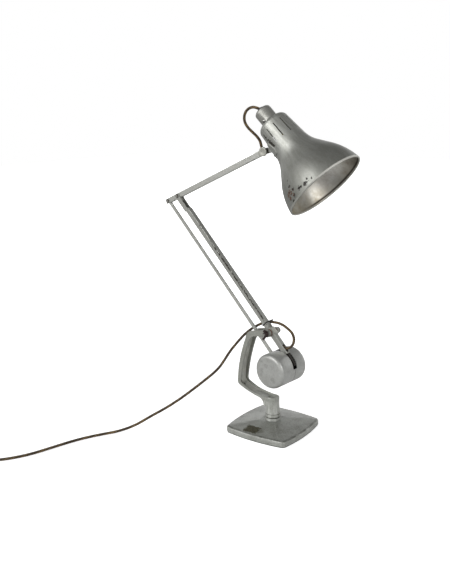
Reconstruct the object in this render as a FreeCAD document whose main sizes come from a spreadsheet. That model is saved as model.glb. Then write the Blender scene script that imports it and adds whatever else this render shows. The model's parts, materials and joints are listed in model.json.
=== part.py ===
import FreeCAD, Part
import Sketcher
import math
import os

Vector = FreeCAD.Vector
Rotation = FreeCAD.Rotation
Placement = FreeCAD.Placement

# ---------------------------------------------------------------- driving sizes
# Millimetres and degrees. X runs from the counterweight towards the shade in the
# plane of the arms, Y runs along the hinge axes, Z is up from the table.
SIZES = {
    # square cast base with bowed sides
    "base_side": 160, "base_bow": 7, "base_corner": 5, "base_wall": 13.5, "base_edge": 1.6,
    "base_top": 25, "base_crown": 46, "base_turn": 5.5, "base_floor": 7, "felt_thick": 1.6,
    "collar_dia": 37, "collar_top": 31, "spindle_dia": 12,
    # C-shaped bracket: a channel casting on a turned post
    "post_low": 32.2, "post_foot_dia": 37, "post_dia": 31, "post_top": 81,
    "channel_width": 30, "channel_gap": 22, "boss_dia": 17, "boss_out": 18,
    "pivot_across": -3, "pivot_up": 237, "bolt_dia": 6,
    # linkage
    "main_lean": 45.6, "main_length": 413, "tail_length": 89, "upper_lean": 22.9,
    "upper_length": 296.4, "link": 38, "tube_side": 12.7, "tube_wall": 1.2, "tube_shift": 1.5,
    "tube_end": 26, "eye_width": 7,
    "yoke_length": 45, "yoke_width": 13, "yoke_wall": 1.4,
    "upper_width": 9.6, "upper_depth": 12.7, "upper_wall": 1.1,
    "bar_width": 8, "bar_thick": 3.6, "pin_dia": 5,
    # split counterweight drum
    "drum_dia": 80.4, "drum_near": 47, "drum_far": 44, "drum_round": 9, "slot_width": 14,
    "slot_drop": 12, "drum_pin_dia": 4.2, "drum_shift": 1.2,
    # head
    "head_roll": 5.4, "head_turn": -21.7, "shade_reach": 58.9, "shade_drop": 156.8,
    "mouth_radius": 91.5, "shade_length": 188, "shade_wall": 1.0, "holder_hole": 29.6,
    "slot_count": 12, "vent_width": 2.2, "vent_length": 37, "vent_low": 133.5,
    "cover_radius": 19.2, "cover_length": 34.5, "cover_wall": 0.9, "switch_height": 194,
    # flex
    "flex_dia": 6.2, "coil_dia": 74,
}

FLEX = SIZES["flex_dia"]
DRUM_PIN_REACH = 24

doc = FreeCAD.newDocument("searchlight")
sheet = doc.addObject("Spreadsheet::Sheet", "Sizes")
for row, (name, number) in enumerate(SIZES.items(), start=1):
    sheet.set("A%d" % row, name)
    sheet.set("B%d" % row, str(number))
    sheet.setAlias("B%d" % row, name)
doc.recompute()

pieces = []


def size(formula):
    """Number that a formula of sheet names has now."""
    if not isinstance(formula, str):
        return float(formula)
    return float(sheet.evalExpression(formula))


def cells(formula):
    """The formula with each sheet name written as Sizes.name."""
    words = formula.replace("(", " ( ").replace(")", " ) ").replace("/", " / ").split()
    return " ".join("Sizes." + word if word in SIZES else word for word in words)


def bind(thing, prop, formula):
    """Tie one property of an object to the sheet."""
    if isinstance(formula, str):
        thing.setExpression(prop, cells(formula))
    else:
        setattr(thing, prop, formula)


# ---------------------------------------------------------------- drawing helpers
def new_body(label):
    body = doc.addObject("PartDesign::Body", label)
    body.Label = label
    pieces.append(body)
    return body


def plane(body, role):
    return next(f for f in body.Origin.OriginFeatures if f.Role == role)


def sketch(body, role="XY_Plane", lift=0):
    """New sketch on an origin plane of its own body, lifted along the normal."""
    sk = body.newObject("Sketcher::SketchObject", body.Label + "_sketch")
    sk.AttachmentSupport = [(plane(body, role), "")]
    sk.MapMode = "FlatFace"
    if isinstance(lift, str):
        sk.setExpression("AttachmentOffset.Base.z", cells(lift))
    else:
        sk.AttachmentOffset = Placement(Vector(0, 0, lift), Rotation())
    return sk


def measure(sk, kind, edge, end, formula):
    number = sk.addConstraint(Sketcher.Constraint(kind, edge, end, size(formula)))
    if isinstance(formula, str):
        sk.setExpression("Constraints[%d]" % number, cells(formula))


def pin_point(sk, edge, end, across, up):
    measure(sk, "DistanceX", edge, end, across)
    measure(sk, "DistanceY", edge, end, up)


def outline(sk, corners):
    """Closed outline. A corner is (across, up) or (across, up, bow): bow is the
    height of the arc to the next corner over half its chord, positive to the right."""
    spots = [Vector(size(c[0]), size(c[1]), 0) for c in corners]
    starts, ends = [], []
    for k, corner in enumerate(corners):
        a, b = spots[k], spots[(k + 1) % len(spots)]
        if len(corner) > 2:
            chord = b - a
            side = Vector(chord.y, -chord.x, 0) * (corner[2] / 2)
            onward = corner[2] > 0
            middle = (a + b) / 2 + side
            edge = sk.addGeometry(Part.Arc(a, middle, b) if onward else Part.Arc(b, middle, a))
            starts.append((edge, 1 if onward else 2))
            ends.append((edge, 2 if onward else 1))
            if abs(corner[2]) != 1:
                sk.addConstraint(Sketcher.Constraint("Radius", edge, sk.Geometry[edge].Radius))
            elif abs(chord.y) > abs(chord.x):
                measure(sk, "DistanceX", edge, 3, corner[0])
            else:
                measure(sk, "DistanceY", edge, 3, corner[1])
        else:
            edge = sk.addGeometry(Part.LineSegment(a, b))
            starts.append((edge, 1))
            ends.append((edge, 2))
    for k, corner in enumerate(corners):
        sk.addConstraint(Sketcher.Constraint("Coincident", *ends[k - 1], *starts[k]))
        pin_point(sk, *starts[k], corner[0], corner[1])


def circle(sk, across, up, diameter):
    spot = Vector(size(across), size(up), 0)
    edge = sk.addGeometry(Part.Circle(spot, Vector(0, 0, 1), size(diameter) / 2))
    number = sk.addConstraint(Sketcher.Constraint("Diameter", edge, size(diameter)))
    if isinstance(diameter, str):
        sk.setExpression("Constraints[%d]" % number, cells(diameter))
    pin_point(sk, edge, 3, across, up)


def box_outline(sk, width, height, middle=0):
    """Rectangle of the given width and height, centred at (0, middle)."""
    left, right = "0 - (%s) / 2" % width, "(%s) / 2" % width
    low, high = "%s - (%s) / 2" % (middle, height), "%s + (%s) / 2" % (middle, height)
    outline(sk, [(left, low), (right, low), (right, high), (left, high)])


def feature(body, kind, sk, **values):
    """Sketch-based feature with its values bound to the sheet."""
    made = body.newObject("PartDesign::" + kind, body.Label + "_" + kind.lower())
    made.Profile = sk
    for prop, value in values.items():
        if isinstance(value, str) and prop in ("Length", "Angle"):
            made.setExpression(prop, cells(value))
        else:
            setattr(made, prop, value)
    sk.Visibility = False
    doc.recompute()
    if "Invalid" in made.State or made.Shape.isNull() or not made.Shape.isValid():
        raise RuntimeError("%s fails in %s, sketch %d" % (kind, body.Label, sk.solve()))
    return made


def pad(body, sk, length, **values):
    return feature(body, "Pad", sk, Length=length, **values)


def cut(body, sk, length=None, **values):
    """Pocket; without a length it goes through everything both ways."""
    before = body.Shape.Volume
    if length is None:
        made = feature(body, "Pocket", sk, Type="ThroughAll", Midplane=True, **values)
    else:
        made = feature(body, "Pocket", sk, Length=length, **values)
    if body.Shape.Volume > before - 0.5:
        raise RuntimeError("pocket cuts nothing in " + body.Label)
    return made


def revolve(body, sk, kind="Revolution"):
    made = body.newObject("PartDesign::" + kind, body.Label + "_turned")
    made.Profile = sk
    made.ReferenceAxis = (sk, ["V_Axis"])
    made.Angle = 360
    doc.recompute()
    return made


def turned(label, corners, place=Placement()):
    """Round piece: an outline of (radius, height) corners turned about its own Z."""
    body = new_body(label)
    sk = sketch(body, "XZ_Plane")
    outline(sk, corners)
    revolve(body, sk)
    body.Placement = place
    return body


def long_edges(shape, direction, near=None):
    """Names of the straight edges that run along a direction."""
    names = []
    for number, edge in enumerate(shape.Edges, start=1):
        if edge.Curve.TypeId != "Part::GeomLine":
            continue
        if abs(edge.tangentAt(edge.FirstParameter).dot(direction)) < 0.999:
            continue
        if near is None or near(edge.CenterOfMass):
            names.append("Edge%d" % number)
    return names


def round_edges(body, names, radius):
    solid = body.Tip
    made = body.newObject("PartDesign::Fillet", body.Label + "_fillet")
    made.Base = (solid, names)
    bind(made, "Radius", radius)
    body.Tip = made
    doc.recompute()
    return made


def solid_feature(label, shape, place=Placement()):
    made = doc.addObject("Part::Feature", label)
    made.Label = label
    made.Shape = shape
    made.Placement = place
    pieces.append(made)
    return made


def joined(label, parts, place=Placement()):
    """One node holding several separate solids, such as a set of rivets."""
    return solid_feature(label, Part.makeCompound(parts), place)


# ---------------------------------------------------------------- places
ACROSS = Rotation(Vector(1, 0, 0), -90)        # turns a piece's own Z to the hinge axis Y
PIVOT = Vector(size("Sizes.pivot_across"), 0, size("Sizes.pivot_up"))
MAIN = Placement(PIVOT, Rotation(Vector(0, 1, 0), SIZES["main_lean"] - 180))
ELBOW = MAIN.multVec(Vector(SIZES["main_length"], 0, 0))
UPPER = Placement(ELBOW, Rotation(Vector(0, 1, 0), -SIZES["upper_lean"]))
REAR = UPPER.multVec(Vector(-SIZES["link"], 0, 0))
DRUM_ARM = MAIN.multVec(Vector(-SIZES["tail_length"], 0, 0))
DRUM = Placement(DRUM_ARM, UPPER.Rotation).multiply(
    Placement(Vector(-SIZES["link"], 0, 0), Rotation()))
HEAD_POINT = UPPER.multVec(Vector(SIZES["upper_length"], 0, 0))
KNUCKLE = Placement(HEAD_POINT, UPPER.Rotation.multiply(
    Rotation(Vector(1, 0, 0), SIZES["head_roll"])))
HEAD = KNUCKLE.multiply(Placement(Vector(), Rotation(Vector(0, 1, 0), SIZES["head_turn"])))
SHADE = HEAD.multiply(Placement(
    Vector(SIZES["shade_reach"], 0, -SIZES["shade_drop"]), Rotation()))


def at(frame, x=0, y=0, z=0, turn=Rotation()):
    return frame.multiply(Placement(Vector(x, y, z), turn))


# ---------------------------------------------------------------- base
def bowed_square(sk, inset):
    """Square with bowed sides and cut corners, smaller than the base by inset."""
    half = "(base_side / 2 - %s)" % inset
    cut_in = "(base_side / 2 - %s - base_corner)" % inset
    bow = SIZES["base_bow"] / (SIZES["base_side"] / 2 - SIZES["base_corner"])
    outline(sk, [("0 - " + cut_in, "0 - " + half, bow), (cut_in, "0 - " + half),
                 (half, "0 - " + cut_in, bow), (half, cut_in),
                 (cut_in, half, bow), ("0 - " + cut_in, half),
                 ("0 - " + half, cut_in, bow), ("0 - " + half, "0 - " + cut_in)])


def base_casting():
    """Cast base: upright wall, four low faces that rise to a round collar."""
    body = new_body("base_casting")
    wall = sketch(body, lift="felt_thick")
    bowed_square(wall, "0")
    pad(body, wall, "base_wall - felt_thick")
    low = sketch(body, lift="base_wall")
    bowed_square(low, "0")
    edge = sketch(body, lift="base_wall + base_edge")
    bowed_square(edge, "base_edge")
    crown = sketch(body, lift="base_top")
    bowed_square(crown, "(base_side - base_crown) / 2")
    loft = feature(body, "AdditiveLoft", low, Sections=[edge, crown], Ruled=True)
    edge.Visibility = crown.Visibility = False
    body.Tip = loft
    collar = sketch(body, lift="base_floor")
    circle(collar, 0, 0, "collar_dia")
    pad(body, collar, "collar_top - base_floor")
    under = sketch(body)
    outline(under, [("0 - base_side / 2 + 14", "0 - base_side / 2 + 14"),
                    ("base_side / 2 - 14", "0 - base_side / 2 + 14"),
                    ("base_side / 2 - 14", "base_side / 2 - 14"),
                    ("0 - base_side / 2 + 14", "base_side / 2 - 14")])
    cut(body, under, "base_floor", Reversed=True)
    bore = sketch(body)
    circle(bore, 0, 0, "spindle_dia + 0.1")
    cut(body, bore)
    body.Placement = Placement(Vector(), Rotation(Vector(0, 0, 1), SIZES["base_turn"]))


def base_felt():
    """Felt sheet glued under the casting; it closes the recess of the spindle nut."""
    body = new_body("base_felt")
    sheet_face = sketch(body)
    bowed_square(sheet_face, "1")
    pad(body, sheet_face, "felt_thick")
    body.Placement = Placement(Vector(), Rotation(Vector(0, 0, 1), SIZES["base_turn"]))


def spindle():
    """Vertical spindle that the bracket turns on, drawn tight by a nut below."""
    rod = size("Sizes.spindle_dia / 2")
    turned("swivel_spindle", [(0, 2.2), (rod - 2, 2.2), (rod - 2, "base_floor"), (rod, "base_floor"),
                              (rod, 60), (rod - 1, 61), (0, 61)])
    turned("spindle_washer", [(rod - 1.9, 5.2), (14, 5.2), (14, 7), (rod - 1.9, 7)])
    nut = new_body("spindle_nut")
    hexagon = sketch(nut, lift=2.4)
    turns = [math.radians(60 * k) for k in range(6)]
    outline(hexagon, [(9.2 * math.cos(t), 9.2 * math.sin(t)) for t in turns])
    circle(hexagon, 0, 0, "spindle_dia - 4")
    pad(nut, hexagon, 2.8)
    turned("swivel_washer", [("spindle_dia / 2 + 0.05", "collar_top"), (17, "collar_top"),
                             (17, "post_low"), ("spindle_dia / 2 + 0.05", "post_low")])


# ---------------------------------------------------------------- bracket
def bracket_casting():
    """C-shaped channel casting, open to the inside of the C. Its foot is a turned
    post, and its top end forks into two cheeks that hold the arm's pivot."""
    body = new_body("bracket_casting")
    profile = sketch(body, "XZ_Plane")
    outline(profile, [(0, "post_low"), ("post_foot_dia / 2", "post_low"),
                      ("post_foot_dia / 2", "post_low + 4", -0.06), ("post_dia / 2", "post_top - 6"),
                      ("post_dia / 2", "post_top - 1.5", 0.4142), ("post_dia / 2 - 1.5", "post_top"),
                      (0, "post_top")])
    revolve(body, profile)
    side = sketch(body, "XZ_Plane")
    outline(side, [
        ("pivot_across - 1", "pivot_up + 8.4"), (-54, "pivot_up - 3.5", 0.30),
        (-69.5, "pivot_up - 23", 0.085), (-95.3, 103, 0.36), (-88, 92, 0.06),
        (-27, 75, -0.30), (-15.5, 58), (0, 58), (0, 80.3, -0.05), (-51, 85.5, -0.05),
        (-79, 96.5, -0.34), (-86, 106, -0.06), (-64, "pivot_up - 38", -0.30),
        (-40, "pivot_up - 13.5"), ("pivot_across + 1", "pivot_up - 8.4", 0.95)])
    pad(body, side, "channel_width", Midplane=True)
    for sign in (-1, 1):
        boss = sketch(body, "XZ_Plane", lift="0 - %d * boss_out" % sign)
        circle(boss, "pivot_across", "pivot_up", "boss_dia")
        pad(body, boss, "boss_out - channel_gap / 2", Reversed=(sign == -1))
    trough = sketch(body, "XZ_Plane")
    outline(trough, [
        (0, 77.8, -0.02), (-40, 80.4, -0.09), (-83, 95.4, -0.33), (-91.7, 105.5, -0.088),
        (-67, "pivot_up - 25"), (-77, "pivot_up - 20"), (-70, "pivot_up + 14"),
        (30, "pivot_up + 14"), (30, "pivot_up - 30"), (-40, "pivot_up - 50"), (-60, 110), (0, 110)])
    cut(body, trough, "channel_gap", Midplane=True)
    well = sketch(body, lift="post_top")
    circle(well, 0, 0, "channel_gap")
    cut(body, well, 6)
    bolt = sketch(body, "XZ_Plane")
    circle(bolt, "pivot_across", "pivot_up", "bolt_dia")
    cut(body, bolt)
    socket = sketch(body, lift="post_low")
    circle(socket, 0, 0, "spindle_dia + 0.1")
    cut(body, socket, "62 - post_low", Reversed=True)
    return body


def pivot_fittings():
    """Bolt through the cheeks, its wing nut, and a fibre washer each side of the arm."""
    axis = Placement(PIVOT, ACROSS)
    inner = size("Sizes.channel_gap / 2")
    turned("pivot_bolt", [(0, -31), ("bolt_dia / 2", -31), ("bolt_dia / 2", "boss_out"),
                          (6.8, "boss_out"), (6.8, "boss_out + 6.6", 0.3), (5, "boss_out + 8.4"),
                          (0, "boss_out + 8.4")],
           axis)
    for name, low, high in (("near", -inner, -inner + 2.6), ("far", inner - 2.6, inner)):
        turned(name + "_fibre_washer", [("bolt_dia / 2 + 0.05", low), (9, low), (9, high),
                                        ("bolt_dia / 2 + 0.05", high)], axis)
    turned("wing_washer", [("bolt_dia / 2 + 0.05", "0 - boss_out - 1.6"), (8, "0 - boss_out - 1.6"),
                           (8, "0 - boss_out"), ("bolt_dia / 2 + 0.05", "0 - boss_out")], axis)
    nut = new_body("wing_nut")
    hub = sketch(nut, "XZ_Plane")
    outline(hub, [("bolt_dia / 2 + 0.05", -27.5), (4.9, -27.5), (6.2, -19.6),
                  ("bolt_dia / 2 + 0.05", -19.6)])
    revolve(nut, hub)
    wings = sketch(nut, "YZ_Plane")
    for sign in (-1, 1):
        outline(wings, [(sign * 4.2, -20.6), (sign * 4.2, -26, sign * -0.1), (sign * 8.3, -31.5, sign * 0.6),
                        (sign * 12.2, -30, sign * 0.15), (sign * 9.5, -21.5, sign * 0.2)])
    pad(nut, wings, 2.2, Midplane=True)
    nut.Placement = Placement(PIVOT, Rotation(Vector(0, 1, 0), 8).multiply(ACROSS))


# ---------------------------------------------------------------- main arm
def square_tube(label, low, high, width, depth, middle, wall, frame):
    """Tube of rectangular section that runs along the frame's X."""
    body = new_body(label)
    face = sketch(body, "YZ_Plane", lift=low)
    box_outline(face, width, depth, middle)
    pad(body, face, "(%s) - (%s)" % (high, low))
    round_edges(body, long_edges(body.Shape, Vector(1, 0, 0)), 1.2)
    bore = sketch(body, "YZ_Plane", lift=low)
    box_outline(bore, "%s - 2 * %s" % (width, wall), "%s - 2 * %s" % (depth, wall), middle)
    cut(body, bore)
    body.Placement = frame
    return body


def cross_hole(body, along, up, diameter):
    hole = sketch(body, "XZ_Plane")
    circle(hole, along, up, diameter)
    cut(body, hole)


def main_arm():
    tube = square_tube("main_arm_tube", "tube_end - tail_length", "main_length - yoke_length",
                       "tube_side", "tube_side", "0 - tube_shift", "tube_wall", MAIN)
    cross_hole(tube, 0, 0, "bolt_dia + 2.1")
    entry = sketch(tube, "XY_Plane", lift="0 - tube_shift")
    outline(entry, [(-56, -3.9), (-43, -3.9, 1), (-43, 3.9), (-56, 3.9, 1)])
    cut(tube, entry, "tube_side")
    tube.Placement = MAIN
    # The bush carries the arm on the bolt; a folded saddle spreads its load.
    turned("pivot_bush", [("bolt_dia / 2 + 0.05", -8.3), ("bolt_dia / 2 + 1", -8.3),
                          ("bolt_dia / 2 + 1", 8.3), ("bolt_dia / 2 + 0.05", 8.3)],
           Placement(PIVOT, ACROSS))
    saddle = new_body("pivot_saddle")
    plate = sketch(saddle, "YZ_Plane")
    outer, inner = 8.0, size("Sizes.tube_side / 2")
    top = size("0 - Sizes.tube_shift - Sizes.tube_side / 2")
    outline(plate, [(-outer, 4), (-outer, top - 1.6), (outer, top - 1.6), (outer, 4), (inner, 4),
                    (inner, top), (-inner, top), (-inner, 4)])
    pad(saddle, plate, 17, Midplane=True)
    cross_hole(saddle, 0, 0, "bolt_dia + 2.1")
    saddle.Placement = MAIN
    eye = new_body("arm_lower_eye")
    half = "(tube_side / 2 - tube_wall)"
    low, high = "0 - tube_shift - " + half, half + " - tube_shift"
    tongue = sketch(eye, "XZ_Plane")
    outline(tongue, [("tube_end - tail_length", low), ("tube_end - tail_length + 9", low),
                     ("tube_end - tail_length + 9", high), ("tube_end - tail_length", high)])
    pad(eye, tongue, "tube_side - 2 * tube_wall", Midplane=True)
    side = sketch(eye, "XZ_Plane")
    outline(side, [("tube_end - tail_length + 1", low), ("tube_end - tail_length + 1", high),
                   ("0 - tail_length", 5, 1.0), ("0 - tail_length", -5)])
    pad(eye, side, "eye_width", Midplane=True)
    cross_hole(eye, "0 - tail_length", 0, "drum_pin_dia + 0.1")
    eye.Placement = MAIN
    wires = [Part.makeCylinder(1.1, SIZES["main_length"] - 20, Vector(-32, y, -5.3), Vector(1, 0, 0))
             for y in (-1.6, 1.6)]
    joined("main_arm_wires", wires, MAIN)
    tie = new_body("flex_tie")
    # The band is pulled tight round the square tube and the flex that crosses beside it.
    band = sketch(tie, "YZ_Plane", lift=22.4)
    outline(band, [(-7.6, -9.1), (7.6, -12.2), (15.8, -12.2), (15.8, 6.2), (-7.6, 6.2)])
    outline(band, [(-6.5, -8.1), (7.8, -11.1), (14.7, -11.1), (14.7, 5.1), (-6.5, 5.1)])
    pad(tie, band, 2.4)
    tie.Placement = MAIN


def elbow_yoke():
    """Folded channel at the top of the main arm. Its tongue is inside the tube, and
    its cheeks hold the upper arm; the channel is open to the shade side."""
    body = new_body("elbow_yoke")
    start = "main_length - yoke_length"
    side = sketch(body, "XZ_Plane")
    outline(side, [(start, -4.6), (start, 7), ("main_length - 8", 7), ("main_length", "6.5", -1),
                   ("main_length", "0 - 6.5"), ("main_length - 16", -4.6)])
    pad(body, side, "yoke_width", Midplane=True)
    tongue = sketch(body, "XZ_Plane")
    half = "(tube_side / 2 - tube_wall)"
    low, high = "0 - tube_shift - " + half, half + " - tube_shift"
    outline(tongue, [(start + " - 26", low), (start + " - 26", high), (start + " + 3", high),
                     (start + " + 3", low)])
    pad(body, tongue, "tube_side - 2 * tube_wall", Midplane=True)
    inside = sketch(body, "XZ_Plane")
    outline(inside, [(start + " + 2", -12), (start + " + 2", "7 - yoke_wall"),
                     ("main_length - 12", "7 - yoke_wall"), ("main_length - 12", 12),
                     ("main_length + 12", 12), ("main_length + 12", -12)])
    cut(body, inside, "yoke_width - 2 * yoke_wall", Midplane=True)
    throat = sketch(body, "XZ_Plane")
    roof = half + " - yoke_wall - tube_shift"
    outline(throat, [(start + " - 30", -12), (start + " - 30", roof), (start + " + 6", roof),
                     (start + " + 6", -12)])
    cut(body, throat, "tube_side - 2 * tube_wall - 2 * yoke_wall", Midplane=True)
    cross_hole(body, "main_length", 0, "pin_dia + 0.1")
    body.Placement = MAIN


# ---------------------------------------------------------------- upper arm and bar
def pin(label, centre, reach, head):
    """Hollow-ended pin along the hinge axis with a low round head on both ends."""
    rod = size("Sizes.pin_dia / 2")
    turned(label, [(0, -reach - 0.4), (1.2, -reach - 0.4), (1.6, -reach - head), (4, -reach - head, 0.3),
                   (4.6, -reach), (rod, -reach), (rod, reach), (4.6, reach, 0.3), (4, reach + head),
                   (1.6, reach + head), (1.2, reach + 0.4), (0, reach + 0.4)],
           Placement(centre, ACROSS))


def upper_arm():
    tube = square_tube("upper_arm_tube", "0 - link - 7", "upper_length - 16", "upper_width",
                       "upper_depth", "0", "upper_wall", UPPER)
    mouth = sketch(tube, "XZ_Plane")
    outline(mouth, [("0 - link - 9", -12), ("0 - link - 9", 1.5), ("0 - link + 9", 4.6),
                    ("0 - link + 22", 4.6), ("0 - link + 22", -12)])
    cut(tube, mouth, "upper_width - 2 * upper_wall", Midplane=True)
    cross_hole(tube, 0, 0, "pin_dia")
    cross_hole(tube, "0 - link", 0, "pin_dia")
    tube.Placement = UPPER
    pin("elbow_pin", ELBOW, size("Sizes.yoke_width / 2") + 0.1, 1.4)
    pin("rear_pin", REAR, size("Sizes.upper_width / 2"), 1.4)
    socket = new_body("arm_end_socket")
    face = sketch(socket, "YZ_Plane", lift="upper_length - 36")
    box_outline(face, "upper_width - 2 * upper_wall", "upper_depth - 2 * upper_wall")
    circle(face, 0, 0, 6.5)
    pad(socket, face, 20)
    socket.Placement = UPPER
    wires = [Part.makeCylinder(1.1, SIZES["upper_length"] - 48, Vector(6, y, 3.9), Vector(1, 0, 0))
             for y in (-1.6, 1.6)]
    joined("upper_arm_wires", wires, UPPER)


def parallel_bar():
    body = new_body("parallel_bar")
    length = "(main_length + tail_length)"
    side = sketch(body, "XZ_Plane")
    outline(side, [(0, "bar_width / 2"), ("0 - " + length, "bar_width / 2", 1),
                   ("0 - " + length, "0 - bar_width / 2"), (0, "0 - bar_width / 2", 1)])
    pad(body, side, "bar_thick", Midplane=True)
    cross_hole(body, 0, 0, "pin_dia + 0.1")
    cross_hole(body, "0 - " + length, 0, "pin_dia + 0.6")
    body.Placement = Placement(REAR, MAIN.Rotation)


# ---------------------------------------------------------------- counterweight
def drum_half(label, length, outward):
    """Solid half drum with a rounded rim. A step milled over its upper part makes one
    side of the slot that the arm and the bar swing in."""
    body = new_body(label)
    radius = "drum_dia / 2"
    profile = sketch(body, "XZ_Plane")
    outline(profile, [(0, 0), (radius, 0), (radius, "%s - drum_round" % length, 0.4142),
                      (radius + " - drum_round", length), (0, length)])
    revolve(body, profile)
    step = sketch(body)
    if outward > 0:
        low, high = -60, "slot_drop"
    else:
        low, high = "0 - slot_drop", 60
    outline(step, [(-60, low), (60, low), (60, high), (-60, high)])
    cut(body, step, "slot_width / 2", Reversed=True)
    for across, diameter in (("link - drum_shift", "drum_pin_dia"), ("0 - drum_shift", "pin_dia")):
        hole = sketch(body)
        circle(hole, across, 0, diameter)
        cut(body, hole, DRUM_PIN_REACH, Reversed=True)
    turn = ACROSS if outward > 0 else Rotation(Vector(1, 0, 0), 90)
    body.Placement = at(DRUM, x=SIZES["drum_shift"], turn=turn)


def counterweight():
    """The drum turns on the arm's lower eye; the bar's eye turns on its middle pin."""
    drum_half("drum_near_half", "drum_near", -1)
    drum_half("drum_far_half", "drum_far", 1)
    for label, diameter, across in (("drum_arm_pin", "drum_pin_dia / 2", SIZES["link"]),
                                    ("drum_bar_pin", "pin_dia / 2", 0)):
        turned(label, [(0, -DRUM_PIN_REACH), (diameter, -DRUM_PIN_REACH),
                       (diameter, DRUM_PIN_REACH), (0, DRUM_PIN_REACH)],
               at(DRUM, x=across, turn=ACROSS))


# ---------------------------------------------------------------- head
def head_knuckle():
    """Knuckle at the arm's end: a hollow spigot that swivels in the arm, a block that
    the flex enters from above, and a flat tongue that the shade tilts on."""
    body = new_body("head_knuckle")
    stem = sketch(body, "XZ_Plane")
    outline(stem, [(0, -38), (3.6, -38), (3.6, -36.6), (3.2, -36.6), (3.2, -15), (0, -15)])
    revolve(body, stem)
    block = sketch(body, lift=-15.8)
    box_outline(block, "upper_depth", "upper_width")
    pad(body, block, 7.8)
    tongue = sketch(body, "XZ_Plane")
    outline(tongue, [(-6.2, -8.4), (6.2, -8.4), (6.2, 0, 1), (-6.2, 0)])
    pad(body, tongue, 8.4, Midplane=True)
    bore = sketch(body, lift=-9)
    circle(bore, 0, 0, 3.4)
    cut(body, bore, 40)
    entry = sketch(body, "YZ_Plane", lift=-6.6)
    circle(entry, 0, -7.4, 6.4)
    cut(body, entry, 7.2, Reversed=True)
    cross_hole(body, 0, 0, 5.1)
    body.Placement = at(KNUCKLE, turn=Rotation(Vector(0, 1, 0), 90))
    turned("tilt_screw", [(0, -10.4), (4.8, -10.4, 0.25), (7.15, -8.4), (7.15, -6.1), (2.5, -6.1),
                          (2.5, 10.4), (0, 10.4)], at(HEAD, turn=ACROSS))
    nut = new_body("tilt_nut")
    face = sketch(nut, lift=6.1)
    turns = [math.radians(60 * k) for k in range(6)]
    outline(face, [(5.2 * math.cos(t), 5.2 * math.sin(t)) for t in turns])
    circle(face, 0, 0, 5)
    pad(nut, face, 3.6)
    nut.Placement = at(HEAD, turn=ACROSS)


def neck_radius(height):
    """Outside radius of the shade's tapered neck at a height over the mouth."""
    return 40.0 - (height - 121.0) * (40.0 - 35.3) / (175.0 - 121.0)


def shade_bracket():
    """Folded bracket: a plate bent to the neck and two ears beside the knuckle."""
    reach, drop = SIZES["shade_reach"], SIZES["shade_drop"]
    low, high = 110.0, 160.0
    skins = [Part.makeCone(neck_radius(low) + grow, neck_radius(high) + grow, high - low,
                           Vector(0, 0, low)) for grow in (0.05, 1.45)]
    edge = [Vector(-60, y, z) for y, z in ((-38, 118), (38, 118), (38, 129), (33, 149), (30, 151),
                                           (-30, 151), (-33, 149), (-38, 129), (-38, 118))]
    window = Part.Face(Part.makePolygon(edge)).extrude(Vector(58, 0, 0))
    plate = skins[1].cut(skins[0]).common(window)
    upper, lower = Vector(3.68 - reach, 0, drop + 5.48), Vector(-3.2 - reach, 0, drop - 5.77)
    top, foot = Vector(-36.4, 0, 150), Vector(-37.6, 0, 138)
    outline_edges = [Part.Arc(upper, Vector(-5.63 - reach, 0, drop + 3.45), lower).toShape(),
                     Part.makeLine(lower, foot), Part.makeLine(foot, top), Part.makeLine(top, upper)]
    ears = []
    for start in (-6.0, 4.4):
        ear = Part.Face(Part.Wire(outline_edges)).extrude(Vector(0, 1.6, 0))
        ear.translate(Vector(0, start, 0))
        hole = Part.makeCylinder(2.55, 40, Vector(-reach, -20, drop), Vector(0, 1, 0))
        ears.append(ear.cut(skins[0]).cut(hole))
    solid_feature("shade_bracket", plate.fuse(ears).removeSplitter(), SHADE)
    rivets = []
    taper = neck_radius(0) - neck_radius(1)
    for height in (124.0, 144.0):
        for angle in (-38, 38):
            out = Vector(-math.cos(math.radians(angle)), math.sin(math.radians(angle)), 0)
            seat = out * (neck_radius(height) + 1.48) + Vector(0, 0, height)
            rivets.append(Part.makeCone(3, 2.2, 1.2, seat, out + Vector(0, 0, taper)))
    joined("bracket_rivets", rivets, SHADE)


def shade():
    """Spun trumpet shade: flared mouth, tapered neck, rounded shoulder, vent slots."""
    body = new_body("shade")
    profile = sketch(body, "XZ_Plane")
    outline(profile, [
        ("mouth_radius", 0, 0.124), (66, 66), (52, 87.5, -0.121), (40, 121), (35.3, 175, 0.38),
        (25, "shade_length"), ("holder_hole / 2", "shade_length"),
        ("holder_hole / 2", "shade_length - shade_wall"), (25, "shade_length - shade_wall", -0.38),
        ("35.3 - shade_wall", 175), ("40 - shade_wall", 121, 0.121), (51.1, 87.1),
        (65.1, 65.6, -0.124), ("mouth_radius - shade_wall", 0)])
    revolve(body, profile)
    vent = sketch(body, "XZ_Plane")
    half = "vent_width / 2"
    top = "vent_low + vent_length"
    outline(vent, [("0 - " + half, "vent_low"), (half, "vent_low"), (half, top), ("0 - " + half, top)])
    slot = cut(body, vent, 60, Reversed=False)
    ring = body.newObject("PartDesign::PolarPattern", "vent_ring")
    ring.Originals = [slot]
    ring.Axis = (plane(body, "Z_Axis"), [""])
    ring.Angle = 360
    ring.setExpression("Occurrences", cells("slot_count"))
    body.Tip = ring
    doc.recompute()
    body.Placement = at(SHADE, turn=Rotation(Vector(0, 0, 1), 3.3))


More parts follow.
